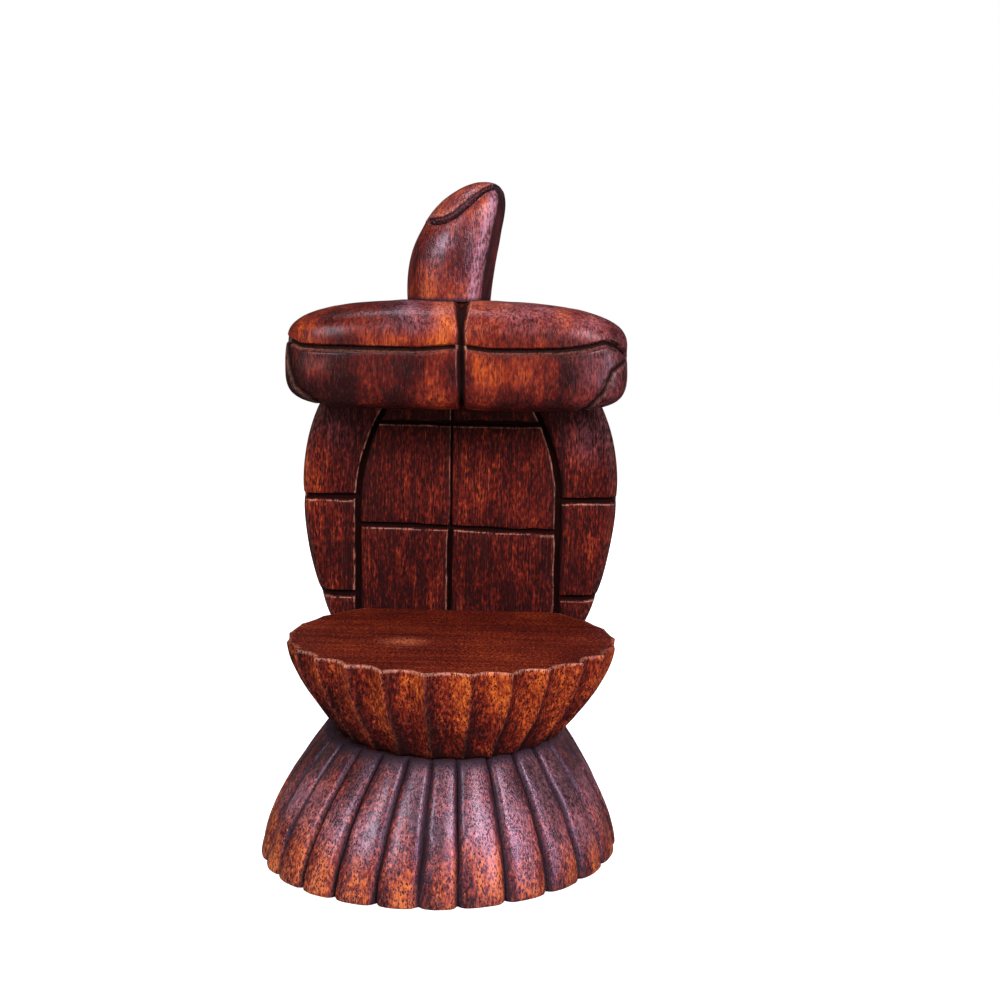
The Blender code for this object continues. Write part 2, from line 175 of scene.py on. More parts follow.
def panel_blank(across, up, wall_cuts):
    """A slab from x and z of 0 to 1, its front at y = 0, its back at y = 1."""
    bm = bmesh.new()
    bmesh.ops.create_grid(bm, x_segments=across, y_segments=up, size=0.5)
    bmesh.ops.rotate(bm, verts=bm.verts, matrix=Matrix.Rotation(math.pi / 2, 3, "X"))
    bmesh.ops.translate(bm, verts=bm.verts, vec=(0.5, 0, 0.5))
    front = bm.faces[:]
    made = bmesh.ops.extrude_face_region(bm, geom=front, use_keep_orig=True)
    moved = [item for item in made["geom"] if isinstance(item, bmesh.types.BMVert)]
    bmesh.ops.translate(bm, verts=moved, vec=(0, 1, 0))
    walls = [edge for edge in bm.edges if abs(edge.verts[0].co.y - edge.verts[1].co.y) > 0.5]
    bmesh.ops.subdivide_edges(bm, edges=walls, cuts=wall_cuts, use_grid_fill=False)
    return bm


def place(bm, points, marks):
    """Moves the blank's points into place and stores with them the marks for the wood's colour, painted
    light and shade among them.
    """
    for vert, point in zip(bm.verts, points):
        vert.co = point
    for name, values in marks.items():
        layer = bm.verts.layers.float.new(name)
        for vert, value in zip(bm.verts, np.clip(values, -1.0, 1.0)):
            vert[layer] = value


def fit(points, box):
    """The points stretched or shrunk a little, so that they fill the box exactly."""
    low, high = points.min(axis=0), points.max(axis=0)
    start, end = np.array(box[0]), np.array(box[1])
    return start + (points - low) * (end - start) / (high - low)


def cut_flat(bm, point, normal):
    """Takes off what lies beyond the plane and closes the cut with a flat face."""
    found = bmesh.ops.bisect_plane(
        bm,
        geom=bm.verts[:] + bm.edges[:] + bm.faces[:],
        dist=1e-6,
        plane_co=point,
        plane_no=normal,
        clear_outer=True,
    )
    edges = [item for item in found["geom_cut"] if isinstance(item, bmesh.types.BMEdge)]
    bmesh.ops.contextual_create(bm, geom=edges)


def finished(name, bm, node, material, crease=42):
    """Takes the carving over as a piece that stands for one body of the frame."""
    bmesh.ops.recalc_face_normals(bm, faces=bm.faces)
    mesh = bpy.data.meshes.new(name)
    bm.to_mesh(mesh)
    bm.free()
    mesh.shade_smooth()
    mesh.set_sharp_from_angle(angle=math.radians(crease))
    mesh.materials.append(material)
    piece = bpy.data.objects.new(name, mesh)
    bpy.context.scene.collection.objects.link(piece)
    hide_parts(node)
    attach(piece, "root")
    return piece


# ---------------------------------------------------------------- wood


class Value:
    """A socket of a node tree.  Sums on it add Math nodes to the tree."""

    def __init__(self, tree, socket):
        self.tree = tree
        self.socket = socket

    def math(self, operation, *others):
        return self.tree.add("ShaderNodeMath", {"operation": operation}, (self, *others))

    def __add__(self, other):
        return self.math("ADD", other)

    __radd__ = __add__

    def __mul__(self, other):
        return self.math("MULTIPLY", other)

    __rmul__ = __mul__

    def __sub__(self, other):
        return self.math("SUBTRACT", other)

    def __rsub__(self, other):
        return (self * -1.0) + other

    def rise(self, low, high):
        """0 where this is at low, 1 where it is at high, smooth between them."""
        settings = {"interpolation_type": "SMOOTHSTEP", "clamp": True}
        sockets = {"Value": self, "From Min": low, "From Max": high}
        return self.tree.add("ShaderNodeMapRange", settings, sockets)

    def clamped(self):
        return self.tree.add("ShaderNodeClamp", {}, (self, 0.0, 1.0))


class Tree:
    """Adds nodes to a material or world, each from its type, settings and sockets."""

    def __init__(self, owner):
        owner.use_nodes = True
        self.nodes = owner.node_tree.nodes
        self.links = owner.node_tree.links

    def add(self, kind, settings=None, sockets=(), output=0):
        node = self.nodes.new(kind)
        for name, value in (settings or {}).items():
            if name == "stops":
                self.set_stops(node.color_ramp, value)
            else:
                setattr(node, name, value)
        self.set_sockets(node, sockets)
        return Value(self, node.outputs[output])

    def set_sockets(self, node, sockets):
        pairs = sockets.items() if isinstance(sockets, dict) else enumerate(sockets)
        for key, value in pairs:
            if isinstance(value, Value):
                self.links.new(value.socket, node.inputs[key])
            else:
                node.inputs[key].default_value = value

    def set_stops(self, ramp, stops):
        while len(ramp.elements) > 1:
            ramp.elements.remove(ramp.elements[-1])
        for number, (position, colour) in enumerate(stops):
            stop = ramp.elements[0] if number == 0 else ramp.elements.new(position)
            stop.position = position
            stop.color = colour

    def mix(self, share, start, end):
        """A colour between two colours."""
        settings = {"data_type": "RGBA", "clamp_factor": True}
        return self.add("ShaderNodeMix", settings, {0: share, 6: start, 7: end}, output=2)

    def mark(self, name):
        """What the carving stored with its points under a name."""
        return self.add("ShaderNodeAttribute", {"attribute_name": name}, output="Fac")

    def stretched(self, place, scale):
        return self.add("ShaderNodeMapping", {}, {"Vector": place, "Scale": scale})

    def noise(self, place, detail, roughness=0.55, scale=1.0):
        sockets = {"Vector": place, "Scale": scale, "Detail": detail, "Roughness": roughness}
        return self.add("ShaderNodeTexNoise", {}, sockets)


def opaque(colour):
    return (*colour, 1.0)


def stained_wood(name, colours, warmth, roughness, wax, grain, dust, pores, sheen):
    """Waxed hardwood with upright grain: dark pores, fibres, old wax and painted shade in hollows, wear and
    painted highlights on edges, painted sheen, and stain shifted by painted light and shade.

    Grain is how strongly (the blotches, the fibres) show and dust how strongly the fine
    specks do.  Pores are (how short, how dark), and sheen is (how strong, its tint).
    """
    blotches, grain = grain
    pore_closeness, pore_darkness = pores
    material = bpy.data.materials.new(name)
    tree = Tree(material)
    shader = tree.nodes["Principled BSDF"]
    place = tree.add("ShaderNodeTexCoord", output="Object")
    hollow = tree.mark("hollow")
    wear_and_highlight = tree.mark("wear_and_highlight")
    stain_light_and_shade = tree.mark("stain_light_and_shade")
    # Painted sheen: where a soft lavender highlight is painted into the colour.
    painted_sheen = tree.mark("painted_sheen")

    fibres = tree.noise(tree.stretched(place, (2300, 2300, 120)), 2.0, 0.6)
    figure = tree.noise(tree.stretched(place, (330, 330, 16)), 3.0, 0.6)
    mottle = tree.noise(tree.stretched(place, (95, 95, 52)), 4.0, 0.62)
    speckle = tree.noise(tree.stretched(place, (1100, 1100, 480)), 2.0, 0.6)

    calm = tree.mark("calm")
    level = tree.noise(tree.stretched(place, (26, 420, 200)), 3.0, 0.6)
    tone = (mottle - 0.5) * blotches + (figure - 0.5) * (0.25 + 0.5 * grain) + (fibres - 0.5) * grain
    tone = tone * (1 - calm * 0.72) + (level - 0.5) * calm * 0.35
    # The stain mark shifts the tone along the ramp: partly real stain and patches, partly painted light and
    # shade set for each piece; the hollow mark darkens it, which is partly old wax and partly painted
    # shade.
    tone = tone + (speckle - 0.5) * dust + stain_light_and_shade * 0.20 - hollow * 0.16 + (0.50 + warmth)
    ramp = {
        "stops": (
            (0.28, opaque(colours.pitch)),
            (0.42, opaque(colours.deep)),
            (0.56, opaque(colours.body)),
            (0.70, opaque(colours.warm)),
            (0.86, opaque(colours.bright)),
        )
    }
    colour = tree.add("ShaderNodeValToRGB", ramp, (tone,))

    # Lighter colour of bare wood where the wear mark is: partly real wear on edges, partly painted
    # highlights on lit edges; the fibre term adds faint painted glints on the fibres.
    rubbed = wear_and_highlight * (speckle * 1.1 + fibres * 0.7).rise(0.68, 0.95) + fibres.rise(0.56, 0.70) * 0.03
    colour = tree.mix(rubbed * 0.85, colour, opaque(colours.rubbed))
    # Painted sheen: a pale lavender highlight colour mixed in, broken up by the specks, fibres and
    # blotches.
    painted_sheen_share = painted_sheen * (0.52 + (speckle - 0.5) * 2.6 + (fibres - 0.5) * 1.2 + (mottle - 0.5) * 2.2)
    colour = tree.mix(painted_sheen_share.clamped(), colour, opaque(colours.painted_sheen))

    pore_place = tree.stretched(place, (1750, 1750, pore_closeness))
    sockets = {"Vector": pore_place, "Scale": 1.0}
    pore_node = tree.nodes.new("ShaderNodeTexVoronoi")
    tree.set_sockets(pore_node, sockets)
    kept = tree.add("ShaderNodeSeparateColor", {}, (Value(tree, pore_node.outputs["Color"]),))
    pores = Value(tree, pore_node.outputs["Distance"]).rise(0.50, 0.26)
    pores = pores * kept.rise(0.22, 0.34) * (figure * 1.6).rise(0.50, 0.85)
    colour = tree.mix(pores * pore_darkness, colour, opaque(colours.pore))

    # Darker colour in the hollows: partly old wax, partly painted shade in creases, grooves and under other
    # parts.
    grime_and_shade = (hollow + (speckle - 0.5) * 0.35 * hollow).rise(0.12, 0.85)
    colour = tree.mix(grime_and_shade * 0.93, colour, opaque(colours.grime_and_shade))

    matt = (mottle - 0.5) * 0.30 + (fibres - 0.5) * 0.22 + hollow * 0.50 + pores * 0.25
    height = fibres * 0.45 + speckle * 0.45 + figure * 0.20 - pores * 0.8
    bump = tree.add("ShaderNodeBump", {}, {"Strength": 0.8, "Distance": 0.0003, "Height": height})
    tree.set_sockets(
        shader,
        {
            "Base Color": colour,
            "Roughness": (matt + roughness).clamped(),
            "Normal": bump,
            "Specular IOR Level": sheen[0],
            "Specular Tint": opaque(sheen[1]),
            "Coat Weight": (1 - hollow * 1.3).clamped() * wax,
            "Coat Roughness": 0.22,
        },
    )
    return material


def plain_dowel_wood(name):
    """Turned beech: pale, with short darker flecks along each dowel."""
    material = bpy.data.materials.new(name)
    tree = Tree(material)
    shader = tree.nodes["Principled BSDF"]
    place = tree.add("ShaderNodeTexCoord", output="Object")
    flecks = tree.noise(tree.stretched(place, (900, 900, 420)), 4.0, 0.6)
    clouds = tree.noise(tree.stretched(place, (140, 140, 60)), 3.0)
    colour = tree.mix(clouds, (0.50, 0.31, 0.16, 1.0), (0.62, 0.43, 0.25, 1.0))
    colour = tree.mix(flecks.rise(0.56, 0.72) * 0.6, colour, (0.33, 0.17, 0.08, 1.0))
    bump = tree.add(
        "ShaderNodeBump", {}, {"Strength": 0.4, "Distance": 0.0001, "Height": flecks}
    )
    sockets = {"Base Color": colour, "Roughness": flecks * 0.2 + 0.5, "Normal": bump}
    tree.set_sockets(shader, sockets)
    return material


def settings():
    return bpy.context.scene.headrest


# ---------------------------------------------------------------- foot and bowl


REED_VALLEYS = (-158, -145, -131, -117.5, -103.5, -92, -80, -64.5, -50, -36, -22, -5)
REEDS_BEHIND = 15
CHANNEL_CRESTS = (-153, -139, -124.5, -110.8, -96, -81, -67.3, -54, -38.5, -24, -10)
CHANNELS_BEHIND = 15
STEPS_PER_FLUTE = 16


def flute_edges(front_edges, count_behind):
    """The edges of the flutes in degrees, once round, those behind evenly spread."""
    step = (front_edges[0] + 360 - front_edges[-1]) / count_behind
    behind = [front_edges[-1] + step * i for i in range(1, count_behind + 1)]
    return np.array(list(front_edges) + behind, dtype=float)


def flute_places(turn, edges):
    """(angle, share of the way across its flute, number of the flute) for each point."""
    flutes = len(edges) - 1
    spot = np.rint(turn * flutes * STEPS_PER_FLUTE) / STEPS_PER_FLUTE % flutes
    number = np.floor(spot).astype(int)
    share = spot - number
    angle = np.radians(blend(edges[number], edges[number + 1], share))
    return angle, share, number


def oval(angle, level, inset):
    """x and y on an oval level that is widest at y = 0; powers over 2 square its corners."""
    behind = np.sin(angle) > 0
    front_power = np.where(np.cos(angle) > 0, level["right_power"], level["left_power"])
    power = np.where(behind, level["back_power"], front_power)
    reach = np.where(behind, level["back"], level["front"])
    across = signed_power(np.cos(angle), 2 / power)
    along = np.abs(np.sin(angle)) ** (2 / power)
    x = level["side"] + (level["half_width"] - inset) * across
    y = (reach - np.copysign(inset, reach)) * along
    return x, y


def side_rows(low_caps, sides, high_caps, edge_round, height):
    """(height share, radial share, inset) of the rows from the underside's middle to the top's."""
    rows = [(0.0, share, edge_round) for share in low_caps]
    for step in range(4):
        turn = math.pi / 2 * step / 4
        rise = edge_round * (1 - math.cos(turn)) / height
        rows.append((rise, 1.0, edge_round * (1 - math.sin(turn))))
    low = edge_round / height
    for step in range(sides):
        rows.append((blend(low, 1 - low, step / (sides - 1)), 1.0, 0.0))
    for step in range(1, 5):
        turn = math.pi / 2 * step / 4
        rise = 1 - edge_round * (1 - math.sin(turn)) / height
        rows.append((rise, 1.0, edge_round * (1 - math.cos(turn))))
    rows += [(1.0, share, edge_round) for share in high_caps]
    return np.array(rows)


class HEADREST_OT_foot(Operator):
    """Carve the bell-shaped foot with its rounded reeds"""

    bl_idname = "headrest.foot"
    bl_label = "Foot"

    def execute(self, context):
        sizes = settings()
        height = FOOT[1].z - FOOT[0].z
        rows = side_rows((0, 0.4, 0.8, 0.95), 60, (0.97, 0.8, 0.4, 0), 0.0009, height)
        edges = flute_edges(REED_VALLEYS, REEDS_BEHIND)
        bm = turned_blank(len(rows), (len(edges) - 1) * STEPS_PER_FLUTE)
        row, turn = rows_and_turns(bm)
        share_up, out, rounding = rows[row].T
        angle, share, reed = flute_places(turn, edges)

        here = np.stack((reed * 0.0131, share_up * 0.9, share * 0), axis=1)
        sway = np.radians(0.55) * patches(here, (0.02, 0.16, 1.0), 3) * share_up**0.5
        spread = 1 - share_up**1.6
        level = {
            "side": blend(0.0005, 0.0, spread),
            "half_width": blend(0.0393, 0.0618, spread) - rounding,
            "front": blend(-0.0437, -0.0633, spread) + rounding,
            "back": blend(0.0620, 0.0633, spread) - rounding,
            "left_power": blend(2.0, 2.3, spread),
            "right_power": blend(2.0, 1.86, spread),
            "back_power": blend(2.8, 2.0, spread),
        }
        crown = np.sin(math.pi * share)
        valley = np.minimum(share, 1 - share)
        depth = sizes.reed_depth * (1 + 0.25 * patches(here, (0.011, 0.3, 1.0), 5))
        inset = depth * (1 - crown**0.40) + 0.0009 * (1 - ease(0.0, 0.15, valley))
        stop_height = 0.50 + 0.07 * patches(here * (1, 0, 0), (0.004, 1, 1), 9)
        stop_height = stop_height + 0.06 * (2 * share - 1) ** 2
        fronted = ease(0.75, 0.95, np.sin(-angle))
        stop = ease(0.0, 0.018, share_up - stop_height) * (1 - ease(0.0, 0.35, share_up - stop_height))
        inset = inset + 0.00022 * stop * crown * fronted
        x, y = oval(angle + sway, level, inset)
        z = FOOT[0].z + height * share_up
        points = np.stack((x, y, z), axis=1)
        carved = patches(points, (0.005, 0.005, 0.012), 1) * 0.00013
        carved += patches(points, (0.0021, 0.0021, 0.010), 2) * 0.00007
        shrink = out * (1 + carved / 0.055)
        points[:, 0] = level["side"] + (points[:, 0] - level["side"]) * shrink
        points[:, 1] = points[:, 1] * shrink
        points = fit(points, FOOT)

        side = (out > 0.99) & (share_up > 0.0)
        # Darker in the valleys, which is old wax and painted shade, and in a band at the top, which is
        # painted shade under the bowl.
        hollow = (1 - ease(0.03, 0.16, valley)) * 0.60 + (1 - ease(0.0, 0.07, valley)) * 0.15
        hollow = hollow + 0.75 * ease(0.90, 0.99, share_up)
        hollow = np.where(side, hollow, 0.0)
        rim = 1 - ease(0.02, 0.20, share_up)
        wear_and_highlight = (ease(0.6, 1.0, crown) * 0.05 + rim * 0.04) * side
        # Stain with painted light and shade: warmer low down towards the right side of each reed, partly
        # stain and partly painted light; darker at the top, painted shade under the bowl; darker at the
        # gouge stops on the front; random warm patches.
        stain_light_and_shade = 0.04 + 1.3 * (1 - ease(0.08, 0.55, share_up)) * ease(0.1, 0.7, share)
        stain_light_and_shade -= 1.15 * ease(0.45, 0.92, share_up) + 0.2 * stop * fronted
        stain_light_and_shade += patches(points, (0.022, 0.022, 0.016), 4) * 0.60
        # Painted sheen: a lavender highlight painted on the reed faces in a band at mid height, reaching
        # lower on the right and fading under the bowl.
        rightward = ease(0.3, 0.8, np.cos(angle))
        painted_sheen = ease(0.24, 0.52, share_up + 0.16 * rightward) * ease(0.06, 0.24, valley) * side
        painted_sheen *= 1 - 0.80 * ease(0.50, 0.86, share_up) * blend(1.0, 0.4, rightward)
        painted_sheen *= 0.34 + 0.16 * rightward + 0.46 * patches(points, (0.014, 0.014, 0.012), 6)
        marks = {"hollow": hollow, "wear_and_highlight": wear_and_highlight, "stain_light_and_shade": stain_light_and_shade, "painted_sheen": painted_sheen}
        place(bm, points, marks)
        material = stained_wood(
            "foot wood", sizes, 0.0, 0.38, 0.16, (0.9, 0.5), 1.1, (820, 0.95), (0.5, (1.0, 0.72, 0.90))
        )
        finished("foot_carving", bm, "base_foot", material)
        return {"FINISHED"}


class HEADREST_OT_bowl(Operator):
    """Carve the bowl: hollow channels with sharp crests under a flat top"""

    bl_idname = "headrest.bowl"
    bl_label = "Bowl"

    def execute(self, context):
        sizes = settings()
        height = BOWL[1].z - BOWL[0].z
        caps = (0.985, 0.95, 0.88, 0.78, 0.66, 0.52, 0.42, 0.35, 0.28, 0.21, 0.14, 0.07, 0)
        rows = side_rows((0, 0.4, 0.8, 0.96), 54, caps, 0.0007, height)
        edges = flute_edges(CHANNEL_CRESTS, CHANNELS_BEHIND)
        bm = turned_blank(len(rows), (len(edges) - 1) * STEPS_PER_FLUTE)
        row, turn = rows_and_turns(bm)
        share_up, out, rounding = rows[row].T
        angle, share, channel = flute_places(turn, edges)

        here = np.stack((channel * 0.0137, share_up * 0.9, share * 0), axis=1)
        sway = np.radians(0.8) * patches(here, (0.02, 0.2, 1.0), 7) * (1 - share_up) ** 0.5
        spread = 1 - (1 - share_up) ** 1.6
        level = {
            "side": 0.0031,
            "half_width": blend(0.0393, 0.0571, spread) - rounding,
            "front": blend(-0.0437, -0.0522, spread) + rounding,
            "back": blend(0.050, 0.0580, spread) - rounding,
            "left_power": 2.0,
            "right_power": 2.0,
            "back_power": 2.0,
        }
        crown = np.sin(math.pi * share)
        depth = blend(0.5, 1.0, share_up) * sizes.channel_depth
        depth = depth * (1 + 0.22 * patches(here, (0.011, 0.3, 1.0), 8))
        depth = depth * blend(0.22, 1.0, ease(0.05, 0.70, -np.sin(angle)))
        stop_height = 0.36 + 0.16 * patches(here * (1, 0, 0), (0.004, 1, 1), 11)
        stop_height = stop_height + 0.11 * (2 * share - 1) ** 2
        below = 1 - ease(0.0, 0.02, share_up - stop_height)
        ledge = below * (1 - ease(0.0, 0.16, stop_height - share_up))
        inset = depth * crown**0.9 - 0.00055 * ledge * crown
        x, y = oval(angle + sway, level, inset)
        z = BOWL[0].z + height * share_up
        points = np.stack((x, y, z), axis=1)
        carved = patches(points, (0.004, 0.004, 0.014), 1) * 0.00012
        carved += patches(points, (0.0019, 0.0019, 0.011), 2) * 0.00008
        shrink = out * (1 + carved / 0.05)
        points[:, 0] = level["side"] + (points[:, 0] - level["side"]) * shrink
        points[:, 1] = points[:, 1] * shrink
        top = ease(0.995, 1.0, share_up)
        points[:, 2] -= top * 0.00016 * (1 + patches(points, (0.010, 0.006, 1.0), 5))
        uncut = (BOWL[0], Vector((BOWL[1].x, 0.0580, BOWL[1].z)))
        points = fit(points, uncut)

        side = (out > 0.99) & (share_up > 0.0)
        crest = 1 - ease(0.0, 0.10, np.minimum(share, 1 - share))
        left_wall = 1 - ease(0.05, 0.45, share)
        under_ledge = np.exp(-(((share_up - stop_height - 0.028) / 0.018) ** 2))
        left_wall = left_wall * ease(0.0, 0.05, share)
        # Painted shade: darker towards the bottom of the bowl and on the left wall of each channel. Also
        # darker in a band just above each gouge stop and along the right edge of each channel.
        hollow = 0.50 * (1 - ease(0.0, 0.20, share_up)) + left_wall * 0.26
        hollow += 0.22 * under_ledge * crown
        hollow += 0.35 * (1 - ease(0.0, 0.06, 1 - share)) * ease(0.1, 0.3, share_up)
        hollow = np.where(side, hollow, 0.0)
        rim = ease(0.962, 0.985, share_up) * (out > 0.99)
        bare = np.hypot((points[:, 0] + 0.0125) / 0.0115, (points[:, 1] + 0.008) / 0.0100)
        bare = (1 - ease(0.1, 1.0, bare)) * (share_up > 0.999)
        fronted = ease(0.2, 0.8, -np.sin(angle))
        # The rim line is partly wear and partly a painted highlight, stronger on the front; the patch on
        # the top is wear.
        wear_and_highlight = (crest * 0.06 * (share < 0.5) + rim * blend(0.15, 0.50, fronted)) * side + 0.16 * bare
        # Stain with painted light and shade: darker towards the bottom, painted shade under the bowl;
        # lighter on the right wall of each channel and darker on the left, painted light and shade; the
        # top's patch and the random patches are stain and wear.
        stain_light_and_shade = 0.75 * ease(0.14, 0.66, share_up) - 0.30
        stain_light_and_shade += 0.55 * ease(0.45, 0.9, share) - 0.55 * left_wall
        bare = bare * (0.75 + 0.35 * patches(points, (0.005, 0.003, 1.0), 12))
        stain_light_and_shade = np.where(side, stain_light_and_shade, 0.14 + 1.0 * bare)
        stain_light_and_shade += patches(points, (0.016, 0.016, 0.02), 4) * 0.35
        flat = {"calm": 1.0 * (share_up > 0.999)}
        place(bm, points, {"hollow": hollow, "wear_and_highlight": wear_and_highlight, "stain_light_and_shade": stain_light_and_shade} | flat)
        cut_flat(bm, (0, BOWL[1].y, 0), (0, 1, 0))
        material = stained_wood(
            "bowl wood", sizes, -0.025, 0.44, 0.0, (0.5, 0.3), 0.9, (900, 0.95), (0.1, (1.0, 0.5, 0.35))
        )
        finished("bowl_carving", bm, "seat_bowl", material)
        return {"FINISHED"}


# ---------------------------------------------------------------- shell


SHELL_SIDE = 0.0028
SHELL_HALF_WIDTH = 0.0591
SHELL_WIDEST = 0.1203
SHELL_UPPER_REACH = 0.0658
SHELL_LOWER_REACH = 0.090
SHELL_MARGIN = 0.0045
SPINE_SIDE = -0.003
SEAT_TOP = BOWL[1].z
MIDDLE_GROOVES = (SEAT_TOP + 0.0310, SEAT_TOP + 0.0702)
MIDDLE_SLOPES = (0.022, 0.0)
SIDE_GROOVES = (SEAT_TOP + 0.0051, SEAT_TOP + 0.0420)
CLOSE_OFFSETS = (-2.2, -1.8, -1.5, -1.25, -1.0, -0.7, -0.35, 0, 0.35, 0.7, 1.0, 1.25, 1.5, 1.8, 2.2)


def close_lines(spans):
    """Lines between features: (feature, offset from it, share of the way to the next one).

    Every inner feature has a band of close lines over it.  Spans are the counts of lines
    between the features.
    """
    reach = CLOSE_OFFSETS[-1] / 1000
    lines = [(0, 0.0, 0.0)]
    for feature, count in enumerate(spans):
        start = 0.0 if feature == 0 else reach
        if feature:
            lines += [(feature, offset / 1000, 0.0) for offset in CLOSE_OFFSETS[:-1]]
        lines += [(feature, start, step / count) for step in range(1 if not feature else 0, count)]
    lines.append((len(spans), 0.0, 0.0))
    return np.array(lines)


def line_places(lines, index, features):
    """Where each numbered line runs, for features given as one array each."""
    reach = CLOSE_OFFSETS[-1] / 1000
    feature, offset, share = lines[index].T
    feature = feature.astype(int)
    table = np.stack(features)
    columns = np.arange(len(index))
    last = len(features) - 1
    here = table[feature, columns]
    after = table[np.minimum(feature + 1, last), columns]
    near = np.where(feature == 0, 0.0, reach)
    far = np.where(feature + 1 >= last, 0.0, reach)
    return here + offset + share * (after - here - near - far)


def shell_half_width(z, inset=0.0):
    reach = np.where(z > SHELL_WIDEST, SHELL_UPPER_REACH, SHELL_LOWER_REACH) - inset
    inside = np.clip(1 - ((z - SHELL_WIDEST) / reach) ** 2, 0.0, None)
    return (SHELL_HALF_WIDTH - inset) * np.sqrt(inside)


def plate_half_width(z):
    """How far each long plate groove stands from the middle of the shell."""
    bend = SEAT_TOP + 0.0410
    share = np.clip((z - bend) / (BAR[0].z - bend), 0.0, 1.3)
    return blend(0.0374, 0.0270, share**2)


def shell_grooves(x, z, width):
    """(depth share, closeness to a groove, painted highlight along the lit edge of each groove) of each
    point.
    """
    side = x - SHELL_SIDE
    points = np.stack((x, z * 0, z), axis=1)
    wobble = 0.00020 * patches(points, 0.018, 21) + 0.00007 * patches(points, 0.005, 22)
    half = width / 2 * (1 + 0.16 * patches(points, 0.008, 23))
    low = ease(SEAT_TOP - 0.006, SEAT_TOP - 0.004, z)
    bow = plate_half_width(z)
    upper_spine = ease(MIDDLE_GROOVES[0] - 0.002, MIDDLE_GROOVES[0] + 0.006, z)
    beside = np.sign(side) * (np.abs(side) - bow)
    lines = [
        (side - SPINE_SIDE + wobble, low, -1, blend(1.05, 0.40, upper_spine)),
        (beside + wobble, low, -1, np.full(len(x), 1.15)),
    ]
    between = 1 - ease(bow - 0.0004, bow + 0.0004, np.abs(side))
    for height, slope in zip(MIDDLE_GROOVES, MIDDLE_SLOPES):
        away = z - height + wobble + slope * side
        lines.append((away, between, 1, np.full(len(x), 0.85)))
    outside = ease(bow - 0.0004, bow + 0.0004, np.abs(side))
    for height in SIDE_GROOVES:
        away = z - height + wobble - 0.015 * beside
        lines.append((away, outside, 1, np.full(len(x), 1.0)))
    depth = np.zeros(len(x))
    near = np.zeros(len(x))
    lit_edge = np.zeros(len(x))
    for away, part, steep_side, wide in lines:
        across = away * steep_side / (half * wide)
        cut = ease(-1.1, 0.15, across) * (1 - ease(0.72, 1.0, across)) * part * wide**0.5
        outer = np.maximum(0.0, np.abs(away) - half * wide)
        near = np.maximum(near, np.exp(-outer / 0.0016) * part)
        lip = (1 - ease(0.00008, 0.00036, outer)) * (np.abs(away) > half * wide * 0.94)
        lit_edge = np.maximum(lit_edge, lip * part * (away < 0))
        depth = np.maximum(depth, cut)
    return depth, near, lit_edge * (depth < 0.4)


